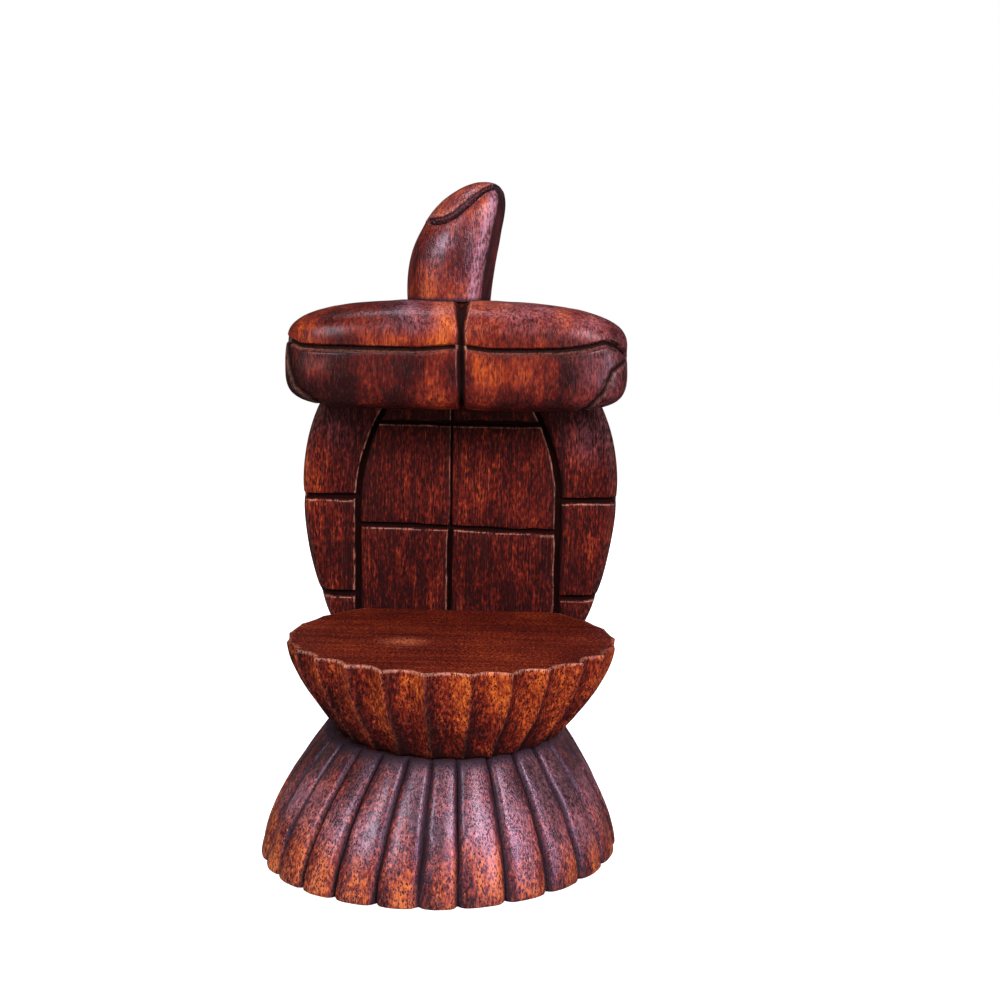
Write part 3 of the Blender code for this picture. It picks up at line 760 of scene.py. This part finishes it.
class HEADREST_OT_shell(Operator):
    """Carve the upright shell panel and cut it into plates"""

    bl_idname = "headrest.shell"
    bl_label = "Shell"

    def execute(self, context):
        sizes = settings()
        across = close_lines((26, 42, 42, 26))
        up = close_lines((24, 22, 10, 24, 36))
        wall = 15
        bm = panel_blank(len(across) - 1, len(up) - 1, wall)
        blank = np.array([vert.co for vert in bm.verts])
        column = np.rint(blank[:, 0] * (len(across) - 1)).astype(int)
        row = np.rint(blank[:, 2] * (len(up) - 1)).astype(int)
        through = blank[:, 1]

        ones = np.ones(len(blank))
        bottom = SHELL[0].z
        top_line = SHELL_WIDEST + (SHELL_UPPER_REACH - SHELL_MARGIN) * 0.80
        cross = sorted(MIDDLE_GROOVES + SIDE_GROOVES)
        levels = [bottom] + cross + [top_line]
        z = line_places(up, row, [ones * level for level in levels])
        inner = shell_half_width(z, SHELL_MARGIN)
        bow = np.minimum(plate_half_width(z), inner * 0.80)
        spine = np.minimum(ones * 0.0, 0) + SPINE_SIDE
        side = line_places(across, column, [-inner, -bow, spine, bow, inner])
        crown_half = SHELL_HALF_WIDTH - SHELL_MARGIN
        crown = SHELL_WIDEST + (SHELL_UPPER_REACH - SHELL_MARGIN) * np.sqrt(
            np.clip(1 - (side / crown_half) ** 2, 0.0, 1.0)
        )
        lifted = ease(cross[-1] + 0.004, top_line, z)
        z = z + lifted**2 * (crown - z)

        rolled = np.minimum(through, 1 - through) * (wall + 1)
        on_wall = (rolled > 0.5) | (column == 0) | (column == len(across) - 1)
        on_wall |= row == len(up) - 1
        arc_rows = wall // 2 - 1
        turn = np.clip(rolled / arc_rows, 0.0, 1.0) * math.pi / 2
        push = SHELL_MARGIN * np.sin(turn)
        reach = np.where(z > SHELL_WIDEST, SHELL_UPPER_REACH, SHELL_LOWER_REACH) - SHELL_MARGIN
        normal_x = side / crown_half**2
        normal_z = (z - SHELL_WIDEST) / reach**2
        size = np.hypot(normal_x, normal_z)
        normal_x, normal_z = normal_x / size, normal_z / size
        on_bottom = (row == 0) & (rolled > 0.5)
        widen = shell_half_width(z, 0.0) / np.maximum(inner, 1e-6)
        flat_x = side * blend(1.0, widen, np.sin(turn))
        x = np.where(on_bottom, flat_x, side + normal_x * push)
        z = np.where(on_bottom, z, z + normal_z * push)
        z = np.maximum(z, bottom)
        thick = SHELL[1].y - SHELL[0].y
        sunk = SHELL_MARGIN * (1 - np.cos(turn))
        middle = np.clip((rolled - arc_rows) / ((wall + 1) / 2 - arc_rows), 0.0, 1.0)
        sunk = sunk + middle * (thick / 2 - SHELL_MARGIN)
        front = through < 0.5
        y = np.where(front, SHELL[0].y + sunk, SHELL[1].y - sunk)
        y = np.where(np.abs(through - 0.5) < 1e-6, (SHELL[0].y + SHELL[1].y) / 2, y)
        x = x + SHELL_SIDE
        points = fit(np.stack((x, y, z), axis=1), SHELL)

        facing = np.where(rolled > 0.5, np.sin(turn), 0.0)
        inward = np.stack((-normal_x * facing, np.cos(turn), -normal_z * facing), axis=1)
        depth, near, lit_edge = shell_grooves(points[:, 0], points[:, 2], sizes.groove_width)
        fade = np.where(front, 1 - ease(arc_rows - 0.5, arc_rows + 1.5, rolled), 0.0)
        pillow = 0.00035 * near
        cut = (depth * sizes.groove_depth + pillow) * fade
        carved = 0.00012 * (1 + patches(points, (0.006, 0.006, 0.016), 31))
        carved += 0.00005 * (1 + patches(points, (0.0022, 0.0022, 0.012), 32))
        back = np.where(front, 0.0, 1.0)
        carved += back * 0.0002 * (1 + patches(points, (0.011, 0.011, 0.024), 33))
        inward[:, 1] *= np.where(front, 1.0, -1.0)
        points += inward * (cut + carved)[:, None]

        # Darker in the grooves, which is old wax and painted shade, and painted shade on the plates close
        # beside them.
        hollow = ease(0.05, 0.7, depth) * fade
        hollow += 0.14 * near * fade * (depth < 0.05) * (lit_edge < 0.1)
        # Painted highlight: a light line along the lit edge of each groove; the margin term is wear on the
        # rolled edge.
        wear_and_highlight = lit_edge * fade * (0.55 + 0.40 * patches(points, 0.003, 35))
        margin = ease(1.0, 3.0, rolled) * fade
        wear_and_highlight += margin * 0.06
        stain_light_and_shade = patches(points, (0.022, 0.022, 0.030), 34) * 0.45 - 0.20
        outer = ease(0.040, 0.056, np.abs(points[:, 0] - SHELL_SIDE))
        up = points[:, 2]
        left = points[:, 0] < SHELL_SIDE
        stain_light_and_shade += 0.8 * outer * left * ease(0.104, 0.116, up) * (1 - ease(0.128, 0.146, up))
        # Painted shadow of the crossbar: darker just under it.
        shade = ease(BAR[0].z - 0.012, BAR[0].z + 0.004, up)
        stain_light_and_shade -= 0.5 * shade
        # Painted sheen on the upper shoulders, stronger on the right and weaker in the crossbar's painted
        # shadow.
        shoulder = ease(0.030, 0.050, np.abs(points[:, 0] - SHELL_SIDE)) * ease(0.124, 0.142, up)
        painted_sheen = shoulder * front * np.where(left, 0.07, 0.20) * (1 - 0.7 * shade)
        marks = {"hollow": hollow, "wear_and_highlight": wear_and_highlight, "stain_light_and_shade": stain_light_and_shade, "painted_sheen": painted_sheen}
        place(bm, points, marks)
        material = stained_wood(
            "shell wood", sizes, -0.08, 0.44, 0.0, (0.5, 0.5), 0.7, (300, 0.95), (0.1, (1.0, 0.5, 0.4))
        )
        finished("shell_carving", bm, "shell_back", material)
        return {"FINISHED"}


# ---------------------------------------------------------------- crossbar and head


BAR_SIDE = 0.0022
BAR_AXIS = Vector((0.0022, 0.0260, 0.1694))
FOLD_X = 0.0044
RIGHT_LIP = ((0.03, 4.6), (0.2, 3.1), (0.6, 3.3), (0.78, 5.2), (0.88, 6.8), (0.95, 5.2), (1.0, 2.0))
LEFT_LIP = ((0.03, 4.0), (0.25, 3.0), (0.75, 2.9), (0.90, 3.4), (1.0, 6.0))
RIGHT_TIP_CUT = ((59.6, -0.5), (54.6, -4.6), (51.9, -11.4), (46.2, -17.4), (43.6, -19.4))
LEFT_TIP_CUT = ((-59.4, 3.4), (-57.6, -5.6), (-55.4, -11.4), (-47.6, -17.6), (-45.6, -19.2))


def lip_height(share):
    """The height of the long groove of each flipper above the crossbar's axis."""
    away = np.abs(share)
    right = np.interp(away, *zip(*RIGHT_LIP))
    left = np.interp(away, *zip(*LEFT_LIP))
    return np.where(share > 0, right, left) / 1000


def bar_surface(along, around):
    """Points of the crossbar's rounded block, from the angle off +X and the angle round."""
    direction = np.stack(
        (np.cos(along), -np.sin(along) * np.cos(around), np.sin(along) * np.sin(around)), axis=1
    )
    upper = ease(0.0, 1.0, (direction[:, 2] + 1) / 2)
    power = blend(5.5, 2.9, upper)
    behind = direction[:, 1] > 0
    cross_power = np.where(behind, 5.0, power)
    reach = np.where(behind, 0.0200, 0.0186)
    cross = np.abs(direction[:, 1]) ** cross_power + np.abs(direction[:, 2]) ** cross_power
    size = (cross ** (power / cross_power) + np.abs(direction[:, 0]) ** power) ** (1 / power)
    x = BAR_AXIS.x + 0.0604 * direction[:, 0] / size
    y = BAR_AXIS.y + reach * direction[:, 1] / size
    z = BAR_AXIS.z + 0.0194 * direction[:, 2] / size
    return np.stack((x, y, z), axis=1)


def drawn_in(share, centre, width, amount):
    """Shares from 0 to 1 with a part of their spread drawn closer round the centre."""
    pull = np.exp(-(((share - centre) / width) ** 2))
    density = 1 + amount * pull
    total = np.cumsum(density)
    total = (total - total[0]) / (total[-1] - total[0])
    return np.interp(np.linspace(0, 1, len(share)), total, share)


class HEADREST_OT_crossbar(Operator):
    """Carve the crossbar: two folded flippers with a fold between them"""

    bl_idname = "headrest.crossbar"
    bl_label = "Crossbar"

    def execute(self, context):
        sizes = settings()
        rows, steps = 190, 220
        bm = turned_blank(rows, steps)
        row, turn = rows_and_turns(bm)
        line = np.linspace(0.0, 1.0, rows)
        fold_share = 0.5 + math.asin((FOLD_X - BAR_AXIS.x) / 0.0604) / math.pi
        spread = drawn_in(line, fold_share, 0.035, 5.0)
        along = math.pi * (1 - spread[row])
        ring = np.linspace(0.0, 1.0, steps + 1)
        ring = drawn_in(ring, 0.5 + 0.03, 0.030, 4.0)
        index = np.rint(turn * steps).astype(int) % steps
        around = 2 * math.pi * ring[index] - math.pi
        share = np.cos(along)
        lift = np.radians(2.0 + 20 * np.abs(share) ** 5) * np.exp(-((around / 0.9) ** 2))
        points = fit(bar_surface(along, around + lift), (BAR[0], Vector((BAR[1].x, 0.0460, BAR[1].z))))

        local = points - np.array(BAR_AXIS)
        reach = np.clip(local[:, 0] / 0.0604, -1.0, 1.0)
        front = local[:, 1] < 0
        above = local[:, 2] / 0.0194

        wobble = 0.00025 * patches(points, (0.008, 0.008, 0.008), 41)
        away = np.abs(points[:, 0] - FOLD_X + wobble + 0.0004 * above)
        open_top = ease(0.45, 1.0, above)
        fold_half = blend(0.0018, 0.0036, open_top)
        fold = np.clip(1 - away / fold_half, 0.0, 1.0)
        ahead = 1 - ease(-0.009, -0.002, local[:, 1])
        fold_cut = fold**1.15 * blend(0.0026, 0.0034, open_top) * ahead
        roll = 0.0008 * np.exp(-away / 0.0040) * (1 - ease(0.55, 0.9, above)) * ahead

        lip = local[:, 2] - lip_height(reach) + 0.00022 * patches(points, (0.009, 1, 1), 42)
        upper_wall = 1 - ease(0.0, 0.00050, lip)
        bevel = 1 - ease(0.0002, 0.0030, -lip)
        lip_cut = upper_wall * bevel * sizes.lip_depth
        lip_cut = lip_cut * front * ease(0.0, 0.003, away)
        near_lip = np.exp(-np.abs(lip) / 0.003) * front

        tips = np.zeros(len(points))
        tip_edge = np.zeros(len(points))
        for path in (RIGHT_TIP_CUT, LEFT_TIP_CUT):
            metres = [(x / 1000, z / 1000) for x, z in path]
            off, side = distance_to_path(local[:, 0], local[:, 2], metres)
            outward = side if path is RIGHT_TIP_CUT else -side
            groove = (1 - ease(0.0003, 0.0011, off)) * front
            tips = np.maximum(tips, groove)
            tip_edge = np.maximum(tip_edge, (1 - ease(0.0010, 0.0016, off)) * front * (outward > 0))

        radial = local * (0.25, 1.0, 1.0)
        radial /= np.maximum(np.linalg.norm(radial, axis=1), 1e-6)[:, None]
        carved = 0.00016 * (1 + patches(points, (0.009, 0.006, 0.006), 43))
        carved += 0.00006 * (1 + patches(points, (0.003, 0.003, 0.006), 44))
        under = np.hypot((points[:, 0] - HEAD_SIDE) / 0.0150, (points[:, 1] - HEAD_Y) / 0.0125)
        carved *= np.where(above > 0.5, ease(1.0, 1.5, under), 1.0)
        cut = fold_cut + roll + lip_cut + 0.0003 * near_lip + tips * 0.0008 + carved
        points = points - radial * cut[:, None]
        seat = np.hypot((points[:, 0] - HEAD_SIDE) / 0.0158, (points[:, 1] - HEAD_Y) / 0.0133)
        sunk = HEAD[0].z - 0.00005
        flat = (seat < 1.0) & (points[:, 2] > sunk - 0.0005) & (fold < 0.05)
        points[flat, 2] = sunk

        # Darker in the fold, the lip groove and the tip cuts, which is old wax and painted shade; a dark
        # joint line round the head's seat.
        hollow = ease(0.10, 0.75, fold) * ahead + 0.95 * ease(0.45, 0.85, lip_cut / sizes.lip_depth)
        hollow += tips * 0.85
        hollow += 0.45 * (1 - ease(0.0, 0.10, np.abs(seat - 1.02))) * (above > 0.5)
        # Painted highlight along the upper bevel of the lower lip; the tip facets' outer edges and the
        # fold's edges are partly wear, partly painted highlight.
        wear_and_highlight = 0.35 * ease(0.05, 0.4, bevel * (lip < 0)) * near_lip * (1 - ease(0.3, 0.8, fold))
        wear_and_highlight += tip_edge * 0.14
        wear_and_highlight += 0.6 * (1 - ease(0.0, 0.25, np.abs(fold - 0.04))) * (fold > 0) * ease(-0.5, 0.4, above)
        # Stain with painted light and shade: the lower half darker, most on the left, and the bottom darker
        # still, painted shade; the upper right lighter, painted light; bands beside the fold and random
        # patches are stain.
        leftward = ease(0.0, 0.02, FOLD_X - points[:, 0])
        stain_light_and_shade = -0.05 + patches(points, (0.020, 0.020, 0.011), 45) * 0.60
        stain_light_and_shade -= (0.25 + 0.60 * leftward) * (lip < 0)
        stain_light_and_shade += 0.35 * ease(0.0, 0.02, points[:, 0] - FOLD_X) * ease(0.2, 0.7, above)
        stain_light_and_shade += 0.75 * np.exp(-(((np.abs(points[:, 0] - FOLD_X) - 0.009) / 0.007) ** 2)) * front
        stain_light_and_shade -= 0.30 * (1 - ease(-0.9, -0.5, above))
        # Painted sheen: a blue-grey highlight patch on the top left, which is also painted darker round it,
        # and a pink highlight along the top right and towards the right tip.
        top_left_sheen_patch = np.exp(-(((points[:, 0] + 0.0115) / 0.0095) ** 2)) * ease(0.25, 0.7, above)
        right = ease(0.0, 0.01, points[:, 0] - FOLD_X)
        painted_sheen = 0.55 * top_left_sheen_patch + right * (0.34 * ease(0.2, 0.8, above) + 0.20 * ease(0.6, 0.9, reach))
        painted_sheen = painted_sheen * (0.8 + 0.5 * patches(points, (0.008, 0.008, 0.006), 46))
        marks = {"hollow": hollow, "wear_and_highlight": wear_and_highlight, "stain_light_and_shade": stain_light_and_shade - 0.6 * top_left_sheen_patch, "painted_sheen": painted_sheen}
        place(bm, points, marks)
        cut_flat(bm, (0, BAR[1].y, 0), (0, 1, 0))
        material = stained_wood(
            "crossbar wood", sizes, -0.01, 0.34, 0.10, (0.8, 0.2), 0.45, (340, 0.6), (0.16, (1.0, 0.6, 0.5))
        )
        finished("crossbar_carving", bm, "crossbar", material)
        return {"FINISHED"}


HEAD_SIDE = -0.0012
HEAD_Y = 0.0308
MOUTH = (
    (-6.6, 27.7), (-4.0, 27.9), (-1.6, 28.3), (1.1, 29.6), (3.2, 31.1), (5.4, 33.0),
    (7.4, 34.8), (9.4, 36.6), (11.2, 38.1), (13.0, 39.3), (14.8, 40.1), (16.4, 40.2), (17.8, 39.0),
)


class HEADREST_OT_head(Operator):
    """Carve the head with its mouth and the ridge down its cheek"""

    bl_idname = "headrest.head"
    bl_label = "Head"

    def execute(self, context):
        sizes = settings()
        rows, steps = 120, 168
        bm = turned_blank(rows, steps)
        row, turn = rows_and_turns(bm)
        step = np.clip((row - 3) / (rows - 4), 0.0, 1.0)
        share_up = np.sin(math.pi / 2 * step)
        out = np.interp(row, (0, 1, 2, 3), (0.0, 0.5, 0.94, 1.0))
        around = 2 * math.pi * turn
        bulge = 1 + 0.04 * np.sin(math.pi * np.minimum(1.0, share_up / 0.6))
        taper = np.sqrt(np.clip(1 - share_up**4.6, 0.0, 1.0))
        middle = HEAD_SIDE + 0.0125 * share_up**2.2
        half_width = 0.0150 * bulge * taper
        half_depth = 0.0125 * bulge * taper
        across = signed_power(np.cos(around), 0.94)
        deep = signed_power(np.sin(around), 0.94)
        across_ridge = 0.80
        slope = (1 - across_ridge) / 0.62
        limit = 1.0 + slope * deep
        on_cheek = (deep < 0) & (across > limit)
        across = np.where(on_cheek, limit, across)
        x = middle + half_width * across * out
        y = HEAD_Y + half_depth * deep * out
        z = HEAD[0].z + (HEAD[1].z - HEAD[0].z) * share_up
        points = fit(np.stack((x, y, z), axis=1), HEAD)

        front = 1 - ease(-0.15, 0.15, deep)
        side, up = points[:, 0] - HEAD_SIDE, points[:, 2] - HEAD[0].z
        path = [(a / 1000, b / 1000) for a, b in MOUTH]
        off, over = distance_to_path(side, up, path)
        off = off + 0.00016 * patches(points, 0.0014, 51)
        wide = blend(0.0012, 0.0009, ease(0.004, 0.014, side))
        mouth = (1 - ease(wide * 0.75, wide * 1.15, off)) * front
        under = (over < 0) * ease(wide * 0.30, wide * 0.70, off) * mouth
        ticks = 0.5 + 0.5 * np.sin((side * 0.9 + 0.4 * up) * 2 * math.pi / 0.0012)
        cap = np.where(over > 0, np.exp(-off / 0.006), 0.0) * front
        below = np.where(over < 0, np.exp(-off / 0.004), 0.0) * front
        ridge = 1 - ease(0.0, 0.10, np.abs(np.where(deep < 0, across - limit, 1.0)))
        carved = 0.00013 * (1 + patches(points, (0.006, 0.006, 0.010), 52))
        carved += 0.00006 * (1 + patches(points, (0.002, 0.002, 0.007), 53))
        cut = mouth * (sizes.mouth_depth * 0.7 - 0.0003 * ticks) + below * 0.0006 + carved
        cut = cut + under * sizes.mouth_depth * 0.7
        centre = np.stack((middle, np.full(len(x), HEAD_Y), points[:, 2] - 0.004), axis=1)
        inward = points - centre
        inward /= np.maximum(np.linalg.norm(inward, axis=1), 1e-6)[:, None]
        points = points - inward * (cut * (out > 0.99))[:, None]

        foot = 1 - ease(0.0, 0.05, share_up)
        brink = (over > 0) * (1 - ease(0.0, 0.0004, np.abs(off - wide * 0.95))) * front
        # Darker in the mouth and along its edges, which is old wax and painted shade; a dark joint line at
        # the foot; painted shade along the cheek ridge.
        hollow = mouth * blend(0.30, 0.60, ticks) + under * 0.7 + brink * 0.5 + foot * 0.8
        hollow += ridge * (share_up > 0.02) * 0.45
        wear_and_highlight = 0.25 * cap * (1 - ease(0.0018, 0.0030, off)) * (off > wide * 1.2)
        # Stain with painted light and shade: the cheek on the right darker, painted shade; warmer low down
        # and on the cap above the mouth, darker in the mouth, and random patches.
        low = 1 - ease(0.0, 0.45, share_up)
        stain_light_and_shade = -0.10 + 0.5 * low * (1 - on_cheek) - 0.45 * on_cheek + 0.8 * cap
        stain_light_and_shade -= 0.5 * mouth
        stain_light_and_shade += patches(points, (0.012, 0.012, 0.02), 54) * 0.4
        # Painted sheen: a grey highlight just below the mouth, a lavender highlight strip down the front
        # just left of the cheek ridge, and a little on the cap.
        lit = np.hypot((side + 0.0005) / 0.0050, (up - 0.0205) / 0.0040)
        sheen_strip = (side - 0.0090 - 0.19 * up) / 0.0018
        painted_sheen = 0.45 * (1 - ease(0.2, 1.0, lit)) + 1.3 * np.exp(-(sheen_strip**2)) * (1 - on_cheek)
        painted_sheen = (painted_sheen + 0.15 * cap) * front * (1 - mouth)
        marks = {"hollow": hollow, "wear_and_highlight": wear_and_highlight, "stain_light_and_shade": stain_light_and_shade, "painted_sheen": painted_sheen}
        place(bm, points, marks)
        material = stained_wood(
            "head wood", sizes, 0.03, 0.34, 0.10, (0.8, 0.26), 0.45, (420, 0.7), (0.35, (1.0, 0.74, 0.8))
        )
        finished("head_carving", bm, "head", material, crease=38)
        return {"FINISHED"}


class HEADREST_OT_dowels(Operator):
    """Give the dowels inside the carving their plain beech"""

    bl_idname = "headrest.dowels"
    bl_label = "Dowels"

    def execute(self, context):
        material = plain_dowel_wood("dowel beech")
        found = [piece for name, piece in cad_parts.items() if "dowel" in name]
        if not found:
            raise RuntimeError("the frame has no dowels")
        for piece in found:
            for slot in piece.material_slots:
                slot.material = material
        return {"FINISHED"}


# ---------------------------------------------------------------- stage


def soft_light(name, location, target, width, height, power, colour):
    data = bpy.data.lights.new(name, "AREA")
    data.shape = "RECTANGLE"
    data.size = width
    data.size_y = height
    data.energy = power
    data.color = colour
    light = bpy.data.objects.new(name, data)
    bpy.context.scene.collection.objects.link(light)
    light.location = location
    towards = Vector(target) - Vector(location)
    light.rotation_euler = towards.to_track_quat("-Z", "Y").to_euler()
    return light


def studio_world(strength):
    world = bpy.data.worlds.new("studio")
    bpy.context.scene.world = world
    tree = Tree(world)
    background = tree.nodes["Background"]
    seen = tree.add("ShaderNodeLightPath", output="Is Camera Ray")
    sockets = {"Color": (1.0, 1.0, 1.0, 1.0), "Strength": seen * (1.0 - strength) + strength}
    tree.set_sockets(background, sockets)


def studio_camera():
    yaw, pitch, roll = math.radians(1.07), math.radians(7.905), math.radians(1.1)
    forward = Vector(
        (-math.sin(yaw) * math.cos(pitch), math.cos(yaw) * math.cos(pitch), -math.sin(pitch))
    )
    right = Vector((math.cos(yaw), math.sin(yaw), 0.0))
    up = right.cross(forward)
    level_right = right * math.cos(roll) + up * math.sin(roll)
    level_up = up * math.cos(roll) - right * math.sin(roll)
    data = bpy.data.cameras.new("camera")
    data.lens = 54.0
    data.sensor_width = 36.0
    data.clip_start = 0.01
    data.clip_end = 20.0
    camera = bpy.data.objects.new("camera", data)
    bpy.context.scene.collection.objects.link(camera)
    turn = Matrix((level_right, level_up, -forward)).transposed()
    camera.matrix_world = Matrix.Translation((0.02836, -0.50841, 0.1918)) @ turn.to_4x4()
    bpy.context.scene.camera = camera


class HEADREST_OT_stage(Operator):
    """Lay the pale floor and set up the soft light and the camera"""

    bl_idname = "headrest.stage"
    bl_label = "Stage"

    def execute(self, context):
        sizes = settings()
        bm = bmesh.new()
        bmesh.ops.create_circle(bm, cap_ends=True, segments=96, radius=3.0)
        bmesh.ops.translate(bm, verts=bm.verts, vec=(0, 0, CAD_BOX[0].z - 0.0002))
        mesh = bpy.data.meshes.new("floor")
        bm.to_mesh(mesh)
        bm.free()
        material = bpy.data.materials.new("pale floor")
        tree = Tree(material)
        shader = tree.nodes["Principled BSDF"]
        seen = tree.add("ShaderNodeLightPath", output="Is Camera Ray")
        glow = tree.mix(seen, (0.0, 0.0, 0.0, 1.0), (1.0, 1.0, 1.0, 1.0))
        sockets = {"Base Color": (0.62, 0.61, 0.60, 1.0), "Roughness": 0.9, "Emission Color": glow}
        sockets |= {"Specular IOR Level": 0.1, "Emission Strength": 0.96}
        tree.set_sockets(shader, sockets)
        mesh.materials.append(material)
        floor = bpy.data.objects.new("floor", mesh)
        bpy.context.scene.collection.objects.link(floor)

        middle = (0.0, 0.0, 0.11)
        power = sizes.light_power
        cool, pink, warm = (0.82, 0.84, 1.0), (1.0, 0.78, 0.90), (1.0, 0.93, 0.86)
        soft_light("left softbox", (-0.44, -0.64, 0.52), middle, 0.28, 0.30, 0.78 * power, cool)
        soft_light("right softbox", (0.44, -0.60, 0.54), middle, 0.26, 0.30, 0.98 * power, pink)
        soft_light("top light", (-0.10, -0.02, 0.80), middle, 0.22, 0.18, 0.26 * power, cool)
        violet = (0.78, 0.66, 1.0)
        strip = soft_light("strip light", (0.66, -0.54, 0.22), middle, 0.12, 0.40, 0.50 * power, violet)
        strip.visible_diffuse = False
        soft_light("side light", (0.74, -0.30, 0.22), middle, 0.12, 0.40, 0.10 * power, pink)
        fills = (
            soft_light("left fill", (-0.70, -0.40, 0.26), middle, 0.30, 0.30, 0.22 * power, warm),
            soft_light("low fill", (0.30, -0.85, 0.16), middle, 0.40, 0.20, 0.08 * power, warm),
            soft_light("back fill", (0.10, 0.80, 0.50), middle, 0.60, 0.40, 0.60 * power, cool),
        )
        for piece in (*fills, floor):
            piece.visible_glossy = False
        studio_world(0.07)
        studio_camera()
        bpy.context.scene.view_settings.view_transform = "Standard"
        return {"FINISHED"}


# ---------------------------------------------------------------- settings and panel


def length(name, description, default):
    return FloatProperty(
        name=name, description=description, default=default, min=0.0, unit="LENGTH", precision=4
    )


def wood_colour(name, description, default):
    return FloatVectorProperty(
        name=name, description=description, default=default, subtype="COLOR", size=3, min=0, max=1
    )


class HeadrestSettings(PropertyGroup):
    reed_depth: length("Reed depth", "How far the valleys of the foot are cut in", 0.0017)
    channel_depth: length("Channel depth", "How far the bowl's channels are cut in", 0.0034)
    groove_width: length("Groove width", "Width of the grooves between the plates", 0.0027)
    groove_depth: length("Groove depth", "Depth of the grooves between the plates", 0.0020)
    lip_depth: length("Lip depth", "Depth of the long groove in each flipper", 0.0024)
    mouth_depth: length("Mouth depth", "Depth of the carved mouth", 0.0012)
    pitch: wood_colour("Darkest wood", "Colour of the darkest figure", (0.014, 0.0030, 0.0030))
    deep: wood_colour("Deep wood", "Colour of dark stained wood", (0.046, 0.0045, 0.0030))
    body: wood_colour("Body wood", "Colour of most of the wood", (0.118, 0.0130, 0.0055))
    warm: wood_colour("Warm wood", "Colour where the stain is thin", (0.250, 0.0420, 0.0075))
    bright: wood_colour("Bright wood", "Colour where the wood glows", (0.430, 0.1050, 0.0150))
    # Colour of bare wood, used for real wear and also for painted highlights on lit edges and painted
    # glints on fibres.
    rubbed: wood_colour("Rubbed wood", "Colour of edges rubbed bare", (0.500, 0.260, 0.170))
    pore: wood_colour("Pores", "Colour inside the pores", (0.008, 0.003, 0.003))
    # Colour of the painted sheen: a lavender highlight painted into the wood, not a haze in the wax.
    painted_sheen: wood_colour("Painted sheen", "Colour of the haze on old wax", (0.260, 0.140, 0.170))
    # Colour darkened into the hollows: old wax, and also painted shade in creases and under other parts.
    grime_and_shade: wood_colour("Hollows", "Colour of old wax in the hollows", (0.0055, 0.0014, 0.0013))
    light_power: FloatProperty(
        name="Light power", description="Power of the key light", default=9.0, min=0.0, unit="POWER"
    )


STEPS = (
    HEADREST_OT_stage,
    HEADREST_OT_foot,
    HEADREST_OT_bowl,
    HEADREST_OT_shell,
    HEADREST_OT_crossbar,
    HEADREST_OT_head,
    HEADREST_OT_dowels,
)


class HEADREST_PT_panel(Panel):
    bl_label = "Headrest"
    bl_idname = "HEADREST_PT_panel"
    bl_space_type = "VIEW_3D"
    bl_region_type = "UI"
    bl_category = "Headrest"

    def draw(self, context):
        column = self.layout.column()
        for name in HeadrestSettings.__annotations__:
            column.prop(context.scene.headrest, name)
        for step in STEPS:
            column.operator(step.bl_idname)


CLASSES = (HeadrestSettings, *STEPS, HEADREST_PT_panel)


def register():
    for cls in CLASSES:
        bpy.utils.register_class(cls)
    bpy.types.Scene.headrest = PointerProperty(type=HeadrestSettings)


def unregister():
    del bpy.types.Scene.headrest
    for cls in reversed(CLASSES):
        bpy.utils.unregister_class(cls)


def main():
    register()
    bpy.ops.headrest.stage()
    bpy.ops.headrest.foot()
    bpy.ops.headrest.bowl()
    bpy.ops.headrest.shell()
    bpy.ops.headrest.crossbar()
    bpy.ops.headrest.head()
    bpy.ops.headrest.dowels()


if __name__ == "__main__":
    main()
